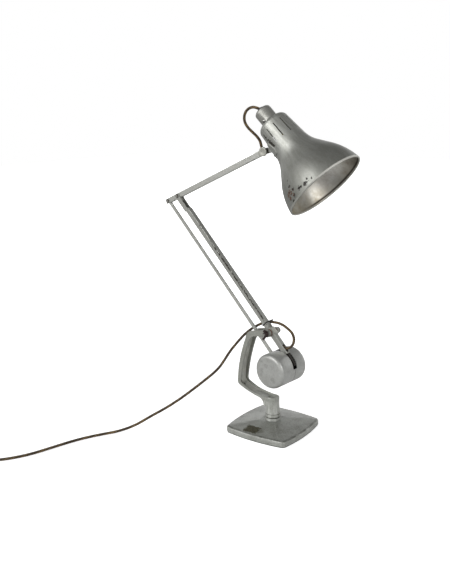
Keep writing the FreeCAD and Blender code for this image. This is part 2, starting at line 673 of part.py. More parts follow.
def lampholder():
    """Bayonet lampholder through the shade's neck, its clamp ring, cover and switch."""
    length, outer = SIZES["shade_length"], SIZES["cover_radius"]
    wall, middle = SIZES["cover_wall"], SIZES["switch_height"]
    end = length + SIZES["cover_length"]
    turn = at(SHADE, turn=Rotation(Vector(0, 0, 1), -3.5))
    cover = turned("lampholder_cover", [
        (14.6, length + 0.05), (20.4, length + 0.05), (20.4, length + 1.4, -0.2), (outer, length + 3),
        (outer, end - 7, 0.4142), (outer - 7, end), (5.2, end), (5.2, end - wall),
        (outer - 7, end - wall, -0.4142), (outer - wall, end - 7), (outer - wall, length + 1),
        (14.6, length + 1)])
    window = sketch(cover, "XZ_Plane")
    circle(window, 0, middle, 9)
    cut(cover, window, 60, Midplane=True)
    cover.Placement = turn
    body = turned("lampholder_body", [
        (0, length - 20), (11.2, length - 20), (11.2, length - 39), (14.4, length - 39),
        (14.4, length + 1.2), (16.2, length + 1.2), (16.2, length + 18, 0.2), (9, length + 27),
        (5, length + 28), (0, length + 28)])
    slide = sketch(body, "XZ_Plane")
    outline(slide, [(-3, middle - 2.6), (3, middle - 2.6), (3, middle + 2.6), (-3, middle + 2.6)])
    cut(body, slide)
    body.Placement = turn
    turned("shade_ring", [(14.45, length - 6.6), (18.5, length - 6.6), (19.2, length - 5.9),
                          (19.2, length - 1.1), (14.45, length - 1.1)], SHADE)
    bar = new_body("switch_bar")
    face = sketch(bar, "XZ_Plane")
    outline(face, [(-2.9, -2.5), (2.9, -2.5), (2.9, 2.5), (-2.9, 2.5)])
    pad(bar, face, 41, Midplane=True)
    round_edges(bar, long_edges(bar.Shape, Vector(0, 1, 0)), 1.2)
    bar.Placement = turn.multiply(Placement(Vector(0, 0, middle), Rotation()))
    turned("cover_grommet", [(3.3, end - 3), (5.1, end - 3), (5.1, end + 0.05), (7.8, end + 0.05, 0.3),
                             (6.2, end + 4.4), (3.3, end + 5)], SHADE)
    turned("bulb_cap", [(0, length - 20.2), (8, length - 20.2), (11, length - 23),
                        (11, length - 46), (0, length - 46)], SHADE)
    turned("bulb_glass", [(0, length - 46.1), (12.5, length - 46.1), (14.5, length - 52, -0.12),
                          (29, length - 83, -0.35), (20, length - 107, -0.3), (0, length - 114)],
           SHADE)


# ---------------------------------------------------------------- flex
def smooth_path(points, name):
    """Straight runs joined by tangent arcs, each arc as large as its runs allow."""
    spots = [Vector(*p) for p in points]
    edges, here, radii = [], spots[0], []
    for before, spot, after in zip(spots, spots[1:], spots[2:]):
        back, ahead = (before - spot), (after - spot)
        run = min(back.Length, ahead.Length)
        half = (math.pi - back.getAngle(ahead)) / 2
        set_back = 0.45 * run
        radii.append(set_back / math.tan(half))
        back.normalize()
        ahead.normalize()
        middle = (back + ahead)
        middle.normalize()
        start, end = spot + back * set_back, spot + ahead * set_back
        inner = spot + middle * (radii[-1] / math.cos(half) - radii[-1])
        if (start - here).Length > 1e-4:
            edges.append(Part.LineSegment(here, start).toShape())
        edges.append(Part.Arc(start, inner, end).toShape())
        here = end
    edges.append(Part.LineSegment(here, spots[-1]).toShape())
    print("%s: %d points, radii %s" % (name, len(spots), " ".join("%.0f" % r for r in radii)))
    return Part.Wire(edges)


def flex(label, points, diameter=FLEX):
    path = smooth_path(points, label)
    spots = [Vector(*p) for p in points]
    section = Part.Wire([Part.Circle(spots[0], spots[1] - spots[0], diameter / 2).toShape()])
    pipe = path.makePipeShell([section], True, False)
    ratio = pipe.Volume / (math.pi * diameter ** 2 / 4 * path.Length)
    print("%s: length %.0f mm, volume ratio %.4f" % (label, path.Length, ratio))
    return solid_feature(label, pipe), path.Length


LOWER_LOOP = [(-5.4, 10.98, 257.8), (7, 10.5, 258.6), (18.5, 9.9, 257.2), (29.5, 9, 254.2),
              (40.1, 7.9, 249.5), (50.9, 6.6, 243.8), (57.4, 5.2, 233.5), (57.4, 3.8, 221.3),
              (50.9, 2.4, 211), (40, 1.1, 205.6), (27.8, 0.2, 206.9), (17.6, 0, 214.8)]
HEAD_LOOP = [(-29.3, -8.5, 738.2), (-41, -8, 742.3), (-55, -7.2, 741.2), (-67.3, -6.4, 734.8),
             (-74.3, -5.6, 723), (-73.6, -4.8, 709.5), (-66.2, -4, 698), (-56, -3.1, 688.6),
             (-45.8, -2.2, 679.4), (-37.6, -1.2, 670), (-32.4, -0.4, 659.6), (-26.1, 0, 644.8)]
MAINS = [(-6, 11, 257.8), (-20, 11.4, 256.3), (-39.6, 11.2, 249.3), (-53.3, 10.6, 241.7),
         (-66.2, 9, 233.6), (-77.4, 6, 224.3), (-87.6, 1, 213.8), (-95.7, -7, 201.2),
         (-100.8, -17, 190.2), (-106.4, -29, 177.1), (-114.8, -45, 160.3), (-125.5, -62, 143.6),
         (-137.5, -85, 122.2), (-153.8, -113, 98.4), (-168.7, -139, 79), (-192.6, -166, 57.2),
         (-216.1, -193, 37.9), (-238, -220, 15.5), (-262, -252, 4.2), (-285, -293, 3.3),
         (-303, -343, 3.3), (-313, -400, 3.3), (-322, -455, 3.3), (-341, -500, 3.3),
         (-363, -528, 3.3), (-384, -553, 3.3)]


def cords():
    head = list(HEAD_LOOP)
    head[-2:] = [tuple(KNUCKLE.multVec(Vector(-7.4, 0, z))) for z in (17, 0.6)]
    flex("lower_flex_loop", LOWER_LOOP)
    flex("head_flex_loop", head)
    flex("mains_flex", MAINS)


def coil_and_plug():
    """Coiled end of the mains flex on the table, with a plain three-pin plug."""
    end, onward = Vector(*MAINS[-1]), Vector(*MAINS[-1]) - Vector(*MAINS[-2])
    onward.normalize()
    side = Vector(onward.y, -onward.x, 0)
    middle = end + (onward * 0.55 + side * 0.835) * 47.6
    middle.z = 7.9
    ring = doc.addObject("Part::Torus", "mains_coil")
    ring.Label = "mains_coil"
    ring.setExpression("Radius1", cells("coil_dia / 2"))
    ring.Radius2 = 7.7
    ring.Placement = Placement(middle, Rotation())
    pieces.append(ring)
    print("coil middle", middle)
    where = Placement(Vector(middle.x - 64.6, middle.y + 24, 0), Rotation(Vector(0, 0, 1), 125))
    tail = [where.multVec(Vector(*p)) for p in ((-26, -1.4, 9), (-5, 0.6, 10.6), (14, 0, 12))]
    print("plug frame", where)
    flex("plug_tail", [tuple(p) for p in tail])
    body = new_body("plug_body")
    face = sketch(body, lift=0.2)
    outline(face, [(14.4, -10), (22, -19), (50, -22), (50, 22), (22, 19), (14.4, 10)])
    pad(body, face, 24)
    round_edges(body, long_edges(body.Shape, Vector(0, 0, 1)), 4)
    body.Placement = where
    pins = [Part.makeBox(18, 6.4, 4, Vector(50.05, y, 8)) for y in (-14.3, 7.9)]
    pins.append(Part.makeBox(23, 4, 8, Vector(50.05, -2, 14)))
    joined("plug_pins", pins, where)


# ---------------------------------------------------------------- build and write
base_casting()
base_felt()
spindle()
bracket_casting()
pivot_fittings()
main_arm()
elbow_yoke()
upper_arm()
parallel_bar()
counterweight()
head_knuckle()
shade_bracket()
shade()
lampholder()
cords()
coil_and_plug()

doc.recompute()
for thing in doc.Objects:
    if "Invalid" in thing.State or "Error" in thing.State:
        raise RuntimeError("failed object: %s %s" % (thing.Label, thing.State))
os.makedirs("parts", exist_ok=True)
for piece in pieces:
    if piece.Shape.isNull() or not piece.Shape.isValid():
        raise RuntimeError("bad shape: " + piece.Label)
    piece.Shape.exportStep(os.path.join("parts", piece.Label + ".step"))
print("%d nodes" % len(pieces))
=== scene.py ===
# %% [markdown]
# # A tabletop searchlight lamp
# The lamp is a square cast base, a C-shaped bracket that turns on it, two arms that stay
# in balance with a slotted drum, and a trumpet-shaped shade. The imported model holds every
# piece at its real size. This lesson dresses it: painted castings, enamelled tubes, a
# spun shade and a braided flex.

# %% Load the frame and note its size
import json
import math

import bmesh
import bpy
from mathutils import Matrix, Vector


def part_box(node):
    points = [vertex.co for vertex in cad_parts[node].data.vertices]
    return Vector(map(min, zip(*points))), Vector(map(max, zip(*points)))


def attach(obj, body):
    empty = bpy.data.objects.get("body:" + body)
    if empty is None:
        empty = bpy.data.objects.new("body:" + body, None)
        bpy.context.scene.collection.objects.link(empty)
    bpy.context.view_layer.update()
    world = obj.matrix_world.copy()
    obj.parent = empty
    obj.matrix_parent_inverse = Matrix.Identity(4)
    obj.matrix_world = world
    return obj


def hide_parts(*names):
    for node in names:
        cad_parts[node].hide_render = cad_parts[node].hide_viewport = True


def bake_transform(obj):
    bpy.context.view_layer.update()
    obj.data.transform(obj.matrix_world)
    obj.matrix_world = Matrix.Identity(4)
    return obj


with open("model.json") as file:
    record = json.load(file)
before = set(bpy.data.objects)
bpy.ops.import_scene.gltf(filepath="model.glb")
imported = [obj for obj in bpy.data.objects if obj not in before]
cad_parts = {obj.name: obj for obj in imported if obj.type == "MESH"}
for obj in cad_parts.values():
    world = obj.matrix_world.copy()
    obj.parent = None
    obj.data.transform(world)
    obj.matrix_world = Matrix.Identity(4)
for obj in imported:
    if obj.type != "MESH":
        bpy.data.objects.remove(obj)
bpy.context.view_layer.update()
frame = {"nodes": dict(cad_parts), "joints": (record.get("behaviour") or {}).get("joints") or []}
MM = 0.001

# %% [markdown]
# ## The camera
# The camera comes first, because the length of flex that it can't see has to be put away
# just outside its view. Its pose is a turn to the left, a tilt down and a small roll, and
# the frame's origin is seen at one named pixel at a known distance.

# %% Place the camera
AZIMUTH, TILT, ROLL = math.radians(42.0), math.radians(13.2), math.radians(1.0)
FOCAL_PIXELS = 750.0
IMAGE_SIZE, ORIGIN_PIXEL = (450, 563), (272.9, 428.1)
ORIGIN_DEPTH = 1.778
SENSOR, CLIP = 36.0, (0.05, 20.0)


def add_camera():
    forward = Vector((-math.sin(AZIMUTH) * math.cos(TILT), math.cos(AZIMUTH) * math.cos(TILT),
                      -math.sin(TILT)))
    level = Vector((math.cos(AZIMUTH), math.sin(AZIMUTH), 0))
    down = forward.cross(level)
    right = level * math.cos(ROLL) + down * math.sin(ROLL)
    down = down * math.cos(ROLL) - level * math.sin(ROLL)
    across, below = ((pixel - size / 2) * ORIGIN_DEPTH / FOCAL_PIXELS
                     for pixel, size in zip(ORIGIN_PIXEL, IMAGE_SIZE))
    camera = bpy.data.objects.new("camera", bpy.data.cameras.new("camera"))
    bpy.context.scene.collection.objects.link(camera)
    turn = Matrix((right, -down, -forward)).transposed()
    place = -(right * across + down * below + forward * ORIGIN_DEPTH)
    camera.matrix_world = Matrix.Translation(place) @ turn.to_4x4()
    camera.data.sensor_width = SENSOR
    camera.data.lens = SENSOR * FOCAL_PIXELS / IMAGE_SIZE[1]
    camera.data.clip_start, camera.data.clip_end = CLIP
    bpy.context.scene.camera = camera
    return camera


camera = add_camera()
print("camera at", [round(v, 3) for v in camera.matrix_world.translation])

# %% [markdown]
# ## Helpers for meshes
# A lathe turns a profile about an axis, which is how spun metal and turned glass are made.
# A sweep carries a circle along a path and writes a UV map, with the way round as U and
# the metres along it as V, so that a braid can follow the cord.

# %% Profiles with arcs


def arc_points(a, b, bow, steps):
    """Points on the arc from a to b, without b. bow is the arc's height over half its
    chord, positive to the right of the way from a to b."""
    if not bow:
        return [a]
    turn = 4 * math.atan(bow)
    chord = Vector(b) - Vector(a)
    radius = chord.length / 2 / math.sin(turn / 2)
    left = Vector((-chord.y, chord.x)).normalized()
    centre = (Vector(a) + Vector(b)) / 2 + left * radius * math.cos(turn / 2)
    spoke = Vector(a) - centre
    return [(centre.x + spoke.x * math.cos(t) - spoke.y * math.sin(t),
             centre.y + spoke.x * math.sin(t) + spoke.y * math.cos(t))
            for t in (turn * k / steps for k in range(steps))]


def profile(corners, steps):
    """Closed outline of (across, up) or (across, up, bow) corners, arcs included."""
    points = []
    for corner, following in zip(corners, corners[1:] + corners[:1]):
        bow = corner[2] if len(corner) > 2 else 0
        points += arc_points(corner[:2], following[:2], bow, steps)
    return points


def refine(points, longest):
    """The closed outline with every straight stretch cut to at most that length."""
    fine = []
    for a, b in zip(points, points[1:] + points[:1]):
        cuts = max(1, math.ceil((Vector(b) - Vector(a)).length / longest))
        fine += [tuple(Vector(a).lerp(Vector(b), k / cuts)) for k in range(cuts)]
    return fine


# %% Lathe and sweep
# Angles in degrees past which an edge stays sharp, and the sides of a cord's section.
TURNED_SHARP, CORD_SHARP, CORD_SIDES = 40, 60, 16


def new_object(name, data):
    made = bpy.data.objects.new(name, data)
    bpy.context.scene.collection.objects.link(made)
    return made


def smooth(mesh, sharp_angle):
    mesh.polygons.foreach_set("use_smooth", [True] * len(mesh.polygons))
    mesh.set_sharp_from_angle(angle=math.radians(sharp_angle))


def object_from(build, name, sharp_angle):
    """Makes an object of a finished build, smooth except at its sharp edges."""
    mesh = bpy.data.meshes.new(name)
    build.to_mesh(mesh)
    build.free()
    smooth(mesh, sharp_angle)
    return new_object(name, mesh)


def lathe(name, outline, place, segments):
    """Turns a closed outline of (radius, height) points, in mm, about the place's Z."""
    build = bmesh.new()
    angles = [2 * math.pi * k / segments for k in range(segments)]
    rings = []
    for radius, height in outline:
        if radius < 1e-6:
            rings.append([build.verts.new(place @ Vector((0, 0, height * MM)))] * segments)
            continue
        rings.append([build.verts.new(place @ Vector((
            radius * MM * math.cos(t), radius * MM * math.sin(t), height * MM)))
            for t in angles])
    for low, high in zip(rings, rings[1:] + rings[:1]):
        for k in range(segments):
            corners = [low[k], low[(k + 1) % segments], high[(k + 1) % segments], high[k]]
            distinct = list(dict.fromkeys(corners))
            if len(distinct) > 2:
                build.faces.new(distinct)
    bmesh.ops.recalc_face_normals(build, faces=build.faces)
    return object_from(build, name, TURNED_SHARP)


def sweep(name, path, diameter, sides):
    """Tube along a list of points, closed at its ends, with its UV map in turns and metres."""
    build = bmesh.new()
    uv = build.loops.layers.uv.new("along")
    ahead = (path[1] - path[0]).normalized()
    side = ahead.orthogonal().normalized()
    rings, marks, gone = [], [], 0.0
    for k, point in enumerate(path):
        onward = (path[min(k + 1, len(path) - 1)] - path[max(k - 1, 0)]).normalized()
        side = ahead.rotation_difference(onward) @ side
        side = (side - onward * side.dot(onward)).normalized()
        other = onward.cross(side)
        ahead = onward
        if k:
            gone += (point - path[k - 1]).length
        rings.append([build.verts.new(point + (side * math.cos(t) + other * math.sin(t))
                                      * diameter / 2)
                      for t in (2 * math.pi * s / sides for s in range(sides))])
        marks.append(gone)
    for k in range(len(rings) - 1):
        for s in range(sides):
            e = (s + 1) % sides
            face = build.faces.new((rings[k][s], rings[k][e], rings[k + 1][e], rings[k + 1][s]))
            spots = ((s, k), (s + 1, k), (s + 1, k + 1), (s, k + 1))
            for loop, (u, v) in zip(face.loops, spots):
                loop[uv].uv = (u / sides, marks[v])
    build.faces.new(list(reversed(rings[0])))
    build.faces.new(rings[-1])
    return object_from(build, name, CORD_SHARP)


# %% Smooth paths


def spline_path(points, resolution):
    """Points, in metres, of the smooth curve that a list of points in mm controls."""
    curve = bpy.data.curves.new("route", "CURVE")
    curve.dimensions = "3D"
    curve.resolution_u = resolution
    spline = curve.splines.new("NURBS")
    spline.points.add(len(points) - 1)
    for spot, point in zip(spline.points, points):
        spot.co = (point[0] * MM, point[1] * MM, point[2] * MM, 1)
    spline.order_u = 3
    spline.use_endpoint_u = True
    holder = bpy.data.objects.new("route", curve)
    mesh = bpy.data.meshes.new_from_object(holder)
    path = [v.co.copy() for v in mesh.vertices]
    bpy.data.objects.remove(holder)
    bpy.data.meshes.remove(mesh)
    return path


def path_length(path):
    return sum((b - a).length for a, b in zip(path, path[1:]))


def middle_of(node):
    """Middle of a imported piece's box."""
    low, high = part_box(node)
    return (Vector(low) + Vector(high)) / 2


# %% [markdown]
# ## The flex
# One braided flex of about 1.8 m feeds the lamp. It leaves the main arm through a slot,
# loops round the pivot, is tied to the arm, and runs down to the table. A second short
# length crosses the head's pivot. The route's points are the control points of a smooth
# curve, and the rest of the length is wound into a coil, whose turns come from a loop.

# %% Route of the mains flex
# The flex's diameter in metres, the steps of each curve between two of its control
# points, and the points themselves in mm.
FLEX, MAINS_STEPS, HEAD_STEPS = 0.0062, 8, 12
LOOP_ROUTE = [(17.6, 0, 214.8), (27.8, 0.2, 206.9), (40, 1.1, 205.6), (50.9, 2.4, 211),
              (57.4, 3.8, 221.3), (57.4, 5.2, 233.5), (50.9, 6.6, 243.8), (40.1, 7.9, 249.5),
              (29.5, 9, 254.2), (18.5, 9.9, 257.2), (7, 10.5, 258.6), (-6, 11, 257.8)]
MAINS_ROUTE = [(-20, 11.4, 256.3), (-39.6, 11.2, 249.3), (-53.3, 10.6, 241.7),
               (-66.2, 9, 233.6), (-77.4, 6, 224.3), (-87.6, 1, 213.8), (-95.7, -7, 201.2),
               (-100.8, -17, 190.2), (-106, -28.8, 177.1), (-111.4, -42.5, 158.4),
               (-118.5, -57.6, 137.5), (-133.8, -83.6, 116.1), (-151.7, -112.5, 93.8),
               (-167.2, -138.9, 75.1), (-190.8, -165.6, 53.3), (-215, -192.9, 35.2),
               (-238, -220, 15.5), (-262, -252, 4.2), (-285, -293, 3.3), (-303, -343, 3.3),
               (-313, -400, 3.3), (-322, -455, 3.3), (-341, -500, 3.3), (-363, -528, 3.3),
               (-384, -553, 3.3)]
PLUG_TAIL = [(-472, -559, 9.6), (-479.8, -544, 9.6), (-493.5, -527.9, 10.6),
             (-503.7, -512.3, 12)]
COIL_MIDDLE = middle_of("mains_coil") / MM
TURNS, TURN_STEPS = 3.375, 16
RING_OUT, RING_IN, LAYER_LOW, LAYER_HIGH = 40.4, 34.0, 3.3, 9.6
# The flex comes in from this radius over the first third of a turn, and it climbs to the
# upper layer in the last quarter of the second turn.
ARRIVAL, ARRIVAL_TURNS, CLIMB = 47.6, 0.35, 0.25


def coil_route():
    """Two turns on the table, the second inside the first, and the rest on top of them."""
    last = MAINS_ROUTE[-1]
    start = math.atan2(last[1] - COIL_MIDDLE.y, last[0] - COIL_MIDDLE.x)
    points = []
    rings = [RING_OUT, RING_IN, RING_IN, RING_OUT, RING_OUT]
    for k in range(2, int(TURNS * TURN_STEPS) + 1):
        turn = k / TURN_STEPS
        ring, following = rings[int(turn)], rings[int(turn) + 1]
        level = LAYER_LOW if turn < 2 else LAYER_HIGH
        radius = ring + (following - ring) * max(0.0, (turn % 1) * 4 - 3)
        if turn < ARRIVAL_TURNS:
            radius += (ARRIVAL - RING_OUT) * (1 - turn / ARRIVAL_TURNS) ** 2
        if 2 - CLIMB < turn < 2:
            level = LAYER_LOW + (LAYER_HIGH - LAYER_LOW) * (turn - 2 + CLIMB) / CLIMB
        angle = start - 2 * math.pi * turn
        points.append((COIL_MIDDLE.x + radius * math.cos(angle),
                       COIL_MIDDLE.y + radius * math.sin(angle), level))
    return points


mains_path = spline_path(LOOP_ROUTE + MAINS_ROUTE + coil_route() + PLUG_TAIL, MAINS_STEPS)

HEAD_ROUTE = [(-29.3, -8.5, 738.2), (-41, -8, 742.3), (-55, -7.2, 741.2), (-67.3, -6.4, 734.8),
              (-74.3, -5.6, 723), (-73.6, -4.8, 709.5), (-65.6, -3.4, 698),
              (-54.4, -1.7, 688.6), (-43, 0.2, 679.4), (-34.8, 1.3, 670), (-30.6, -0.2, 660.1),
              (-26, -0.1, 645.1)]
head_path = spline_path(HEAD_ROUTE, HEAD_STEPS)
mains_cord = sweep("mains_flex_braided", mains_path, FLEX, CORD_SIDES)
head_cord = sweep("head_flex_braided", head_path, FLEX, CORD_SIDES)
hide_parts("mains_flex", "mains_coil", "plug_tail", "lower_flex_loop")
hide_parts("head_flex_loop")
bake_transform(mains_cord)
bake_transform(head_cord)
print("head flex:", round(path_length(head_path), 3), "m")

# %% [markdown]
# ## A short hand for nodes
# Paint, rust and grime are sums of simple patterns, and each needs a good many nodes. The
# class gives the common ones a short name, so that an effect reads like the rule that it
# follows. Colours are given as 8-bit screen values and turned into linear light.

# %% Node helpers


def srgb(*screen):
    """Linear colour of three 8-bit screen values."""
    def linear(value):
        value /= 255
        return value / 12.92 if value <= 0.04045 else ((value + 0.055) / 1.055) ** 2.4
    return (*(linear(value) for value in screen), 1.0)


class Nodes:
    """A node tree with short ways to add a node, set its values and link them."""

    def __init__(self, tree):
        self.tree = tree

    def feed(self, node, values):
        """Links or sets each named input. A triple for a colour is in screen values."""
        for name, value in values.items():
            socket = node.inputs[name]
            if isinstance(value, bpy.types.NodeSocket):
                self.tree.links.new(value, socket)
            elif socket.type == "RGBA" and len(value) == 3:
                socket.default_value = srgb(*value)
            else:
                socket.default_value = value

    def add(self, kind, values=None, **settings):
        node = self.tree.nodes.new(kind)
        for name, value in settings.items():
            setattr(node, name, value)
        self.feed(node, values or {})
        return node

    def group(self, name, values):
        tree = bpy.data.node_groups[name]
        return self.add("ShaderNodeGroup", values, node_tree=tree).outputs

    def noise(self, where, scale, detail=4.0, roughness=0.55):
        made = self.add("ShaderNodeTexNoise", {
            "Vector": where, "Scale": scale, "Detail": detail, "Roughness": roughness})
        return made.outputs["Fac"]

    def ramp(self, value, low, high, out_low=0.0, out_high=1.0):
        made = self.add("ShaderNodeMapRange", {
            "Value": value, "From Min": low, "From Max": high,
            "To Min": out_low, "To Max": out_high}, interpolation_type="SMOOTHSTEP")
        return made.outputs["Result"]

    def patches(self, where, pattern, *levels):
        """Noise of a (scale, detail, roughness) pattern, ramped between two levels."""
        return self.ramp(self.noise(where, *pattern), *levels)

    def math(self, operation, a, b=0.0):
        return self.add("ShaderNodeMath", {0: a, 1: b}, operation=operation).outputs[0]

    def times(self, product, *factors):
        for factor in factors:
            product = self.math("MULTIPLY", product, factor)
        return product

    def plus(self, a, b):
        return self.math("ADD", a, b)

    def minus(self, a, b):
        return self.math("SUBTRACT", a, b)

    def size(self, value):
        """The value without its sign."""
        return self.math("ABSOLUTE", value)

    def band(self, value, rise, fall):
        """Mask that rises between two values and falls between two others."""
        return self.times(self.ramp(value, *rise), self.ramp(value, *fall))

    def vector(self, operation, a, b=(0.0, 0.0, 0.0), output=0):
        made = self.add("ShaderNodeVectorMath", {0: a, 1: b}, operation=operation)
        return made.outputs[output]

    def length(self, vector):
        return self.vector("LENGTH", vector, output="Value")

    def xyz(self, vector):
        return self.add("ShaderNodeSeparateXYZ", {0: vector}).outputs[:]

    def blend(self, share, a, b):
        made = self.add("ShaderNodeMix", {0: share, 6: a, 7: b}, data_type="RGBA")
        return made.outputs[2]

    def bump(self, height, strength, millimetres, normal=None):
        made = self.add("ShaderNodeBump", {"Height": height, "Strength": strength,
                                           "Distance": millimetres * MM})
        if normal:
            self.feed(made, {"Normal": normal})
        return made.outputs["Normal"]


# %% [markdown]
# ## Shared effects as node groups
# Old stoving enamel, castings and plated steel share the same kinds of age: broad cloudy
# grime, fine specks, and chips that show what is underneath. Each effect is one group
# with named inputs, so that every finish can use it with its own values.

# %% Weathered surface group
# Noise patterns: scale, detail and roughness.
MOTTLE, FLECK = (330.0, 3.0, 0.6), (900.0, 2.0, 0.55)


def new_group(name, inputs, outputs, tree_kind="ShaderNodeTree"):
    """Node group with named sockets. Returns its helper, inputs and output node."""
    tree = bpy.data.node_groups.new(name, tree_kind)
    for way, sockets in (("INPUT", inputs), ("OUTPUT", outputs)):
        for label, kind in sockets.items():
            tree.interface.new_socket(label, in_out=way, socket_type="NodeSocket" + kind)
    nodes = Nodes(tree)
    given = nodes.add("NodeGroupInput").outputs
    handed = nodes.add("NodeGroupOutput")
    print("group:", name)
    return nodes, given, handed


nodes, given, handed = new_group(
    "weathered_surface",
    {"Vector": "Vector", "Surface": "Color", "Grime": "Color", "Beneath": "Color",
     "Grime amount": "Float", "Chip amount": "Float", "Cloud scale": "Float",
     "Chip scale": "Float", "Gloss": "Float"},
    {"Color": "Color", "Roughness": "Float", "Height": "Float"})
where = given["Vector"]
cloud = nodes.patches(where, (given["Cloud scale"], 5.0, 0.6), 0.35, 0.72)
mottle = nodes.patches(where, MOTTLE, 0.32, 0.70)
fleck = nodes.patches(where, FLECK, 0.3, 0.75)
mixed = nodes.plus(nodes.times(cloud, 0.45),
                   nodes.plus(nodes.times(mottle, 0.35), nodes.times(fleck, 0.2)))
grime = nodes.times(given["Grime amount"], mixed)
chip_level = nodes.minus(0.86, nodes.times(given["Chip amount"], 0.4))
chip_noise = nodes.noise(where, given["Chip scale"], 6.0, 0.62)
chips = nodes.ramp(nodes.minus(chip_noise, chip_level), 0.0, 0.02)
painted = nodes.blend(grime, given["Surface"], given["Grime"])
nodes.feed(handed, {
    "Color": nodes.blend(chips, painted, given["Beneath"]),
    "Roughness": nodes.plus(given["Gloss"],
                            nodes.plus(nodes.times(grime, 0.3), nodes.times(chips, 0.3))),
    "Height": nodes.minus(nodes.times(fleck, 0.15), chips)})

# %% Sand-cast skin and chips groups
nodes, given, handed = new_group(
    "cast_skin", {"Vector": "Vector", "Grain": "Float", "Dents": "Float"},
    {"Height": "Float"})
grain = nodes.noise(given["Vector"], given["Grain"], 3.0, 0.7)
dents = nodes.noise(given["Vector"], given["Dents"], 2.0, 0.5)
nodes.feed(handed, {"Height": nodes.plus(nodes.times(grain, 0.35), dents)})

nodes, given, handed = new_group(
    "chips", {"Vector": "Vector", "Mask": "Float", "Scale": "Float", "Sparse": "Float"},
    {"Chips": "Float"})
torn = nodes.noise(given["Vector"], given["Scale"], 5.0, 0.6)
level = nodes.minus(given["Sparse"], nodes.times(given["Mask"], 0.22))
nodes.feed(handed, {"Chips": nodes.ramp(nodes.minus(torn, level), 0.0, 0.025)})

# %% [markdown]
# Paint wears first along the corners of a square tube. This group turns a point into the
# tube's own frame and compares how far it is from the middle, both ways: where both are
# near the wall, the point is on a corner.

# %% Square edges group
nodes, given, handed = new_group(
    "square_edges",
    {"Vector": "Vector", "Origin": "Vector", "Angle": "Float", "Half width": "Float",
     "Half depth": "Float", "Shift": "Float"},
    {"Edge": "Float", "Along": "Float", "Stretched": "Vector"})
turned = nodes.add("ShaderNodeVectorRotate", {
    "Vector": given["Vector"], "Center": given["Origin"], "Angle": given["Angle"]},
    rotation_type="Y_AXIS")
local = nodes.vector("SUBTRACT", turned.outputs[0], given["Origin"])
along, across, up = nodes.xyz(local)
out_y = nodes.math("DIVIDE", nodes.size(across), given["Half width"])
out_z = nodes.math("DIVIDE", nodes.size(nodes.minus(up, given["Shift"])), given["Half depth"])
nodes.feed(handed, {"Edge": nodes.ramp(nodes.math("MINIMUM", out_y, out_z), 0.72, 0.97),
                    "Along": along,
                    "Stretched": nodes.vector("MULTIPLY", local, (0.3, 1.0, 1.0))})

# %% [markdown]
# A braid's strands run round the cord both ways, and each one goes over and under the
# others. Two waves that climb in opposite directions give the strands' height. Every third
# strand or so of one direction is paler, which gives the flex its fleck.

# %% Braid group
PALE_ABOVE = 0.66
nodes, given, handed = new_group(
    "braid", {"UV": "Vector", "Strands": "Float", "Pitch": "Float"},
    {"Height": "Float", "Fleck": "Float"})
turns, metres, _ = nodes.xyz(given["UV"])
round_way = nodes.times(turns, given["Strands"])
along = nodes.math("DIVIDE", metres, given["Pitch"])
waves = [nodes.math("SINE", nodes.times(nodes.math(way, round_way, along), 2 * math.pi))
         for way in ("ADD", "SUBTRACT")]
number = nodes.math("FLOOR", nodes.plus(round_way, along))
pick = nodes.add("ShaderNodeTexWhiteNoise", {"W": number}, noise_dimensions="1D")
pale = nodes.math("GREATER_THAN", pick.outputs["Value"], PALE_ABOVE)
on_top = nodes.math("GREATER_THAN", *waves)
nodes.feed(handed, {"Height": nodes.math("MAXIMUM", *waves),
                    "Fleck": nodes.times(pale, on_top)})

# %% [markdown]
# ## Finishes
# Each finish is one material with its own Principled shader, and the groups feed its
# colour, roughness and bump. The patterns read Object coordinates, which are the lamp's
# own, because every piece's object sits at the origin. A finish may take its own marks on
# top: a function that tints the paint or lays dirt over it where its masks say so, and on
# some pieces it also paints light and shade.

# %% Material helpers
COAT_ROUGHNESS, PAINT_DEPTH = 0.28, 0.3
finishes = {}


class Paint:
    """The colour and roughness that a finish has so far."""

    def __init__(self, nodes, colour, rough):
        self.nodes, self.colour, self.rough = nodes, colour, rough

    def tint(self, share, colour):
        self.colour = self.nodes.blend(share, self.colour, colour)

    def soil(self, mask, dirt, dull=0.2):
        """Lays a colour over the surface where the mask says so, and dulls it: dirt, and on some
        pieces painted light and shade.
        """
        self.tint(mask, dirt)
        self.rough = self.nodes.plus(self.rough, self.nodes.times(mask, dull))


def new_material(name):
    """New finish. Returns its helper, its Principled shader and the Object coordinates."""
    print("finish:", name)
    finishes[name] = bpy.data.materials.new(name)
    finishes[name].use_nodes = True
    nodes = Nodes(finishes[name].node_tree)
    where = nodes.add("ShaderNodeTexCoord").outputs["Object"]
    return nodes, nodes.tree.nodes["Principled BSDF"], where


def weathered(name, surface, grime, beneath, amounts, scales, gloss, bump=0.12,
              cast=None, metallic=0.0, own_marks=None, coat=0.0):
    """Finish with grime and chips, its three colours in screen values. amounts are
    (grime, chips), scales are (cloud, chip), cast is (grain, dents, depth in mm), and
    own_marks adds the piece's own marks of wear, and on some pieces painted light and shade."""
    nodes, shader, where = new_material(name)
    worn = nodes.group("weathered_surface", {
        "Vector": where, "Surface": surface, "Grime": grime, "Beneath": beneath,
        "Grime amount": amounts[0], "Chip amount": amounts[1],
        "Cloud scale": scales[0], "Chip scale": scales[1], "Gloss": gloss})
    paint = Paint(nodes, worn["Color"], worn["Roughness"])
    if own_marks:
        own_marks(nodes, where, paint)
    normal = nodes.bump(worn["Height"], bump, PAINT_DEPTH)
    if cast:
        grain, dents, depth = cast
        skin = nodes.group("cast_skin", {"Vector": where, "Grain": grain, "Dents": dents})
        normal = nodes.bump(skin["Height"], 1.0, depth, normal)
    nodes.feed(shader, {"Base Color": paint.colour, "Roughness": paint.rough,
                        "Metallic": metallic, "Coat Weight": coat,
                        "Coat Roughness": COAT_ROUGHNESS, "Normal": normal})


# %% Masks for marks


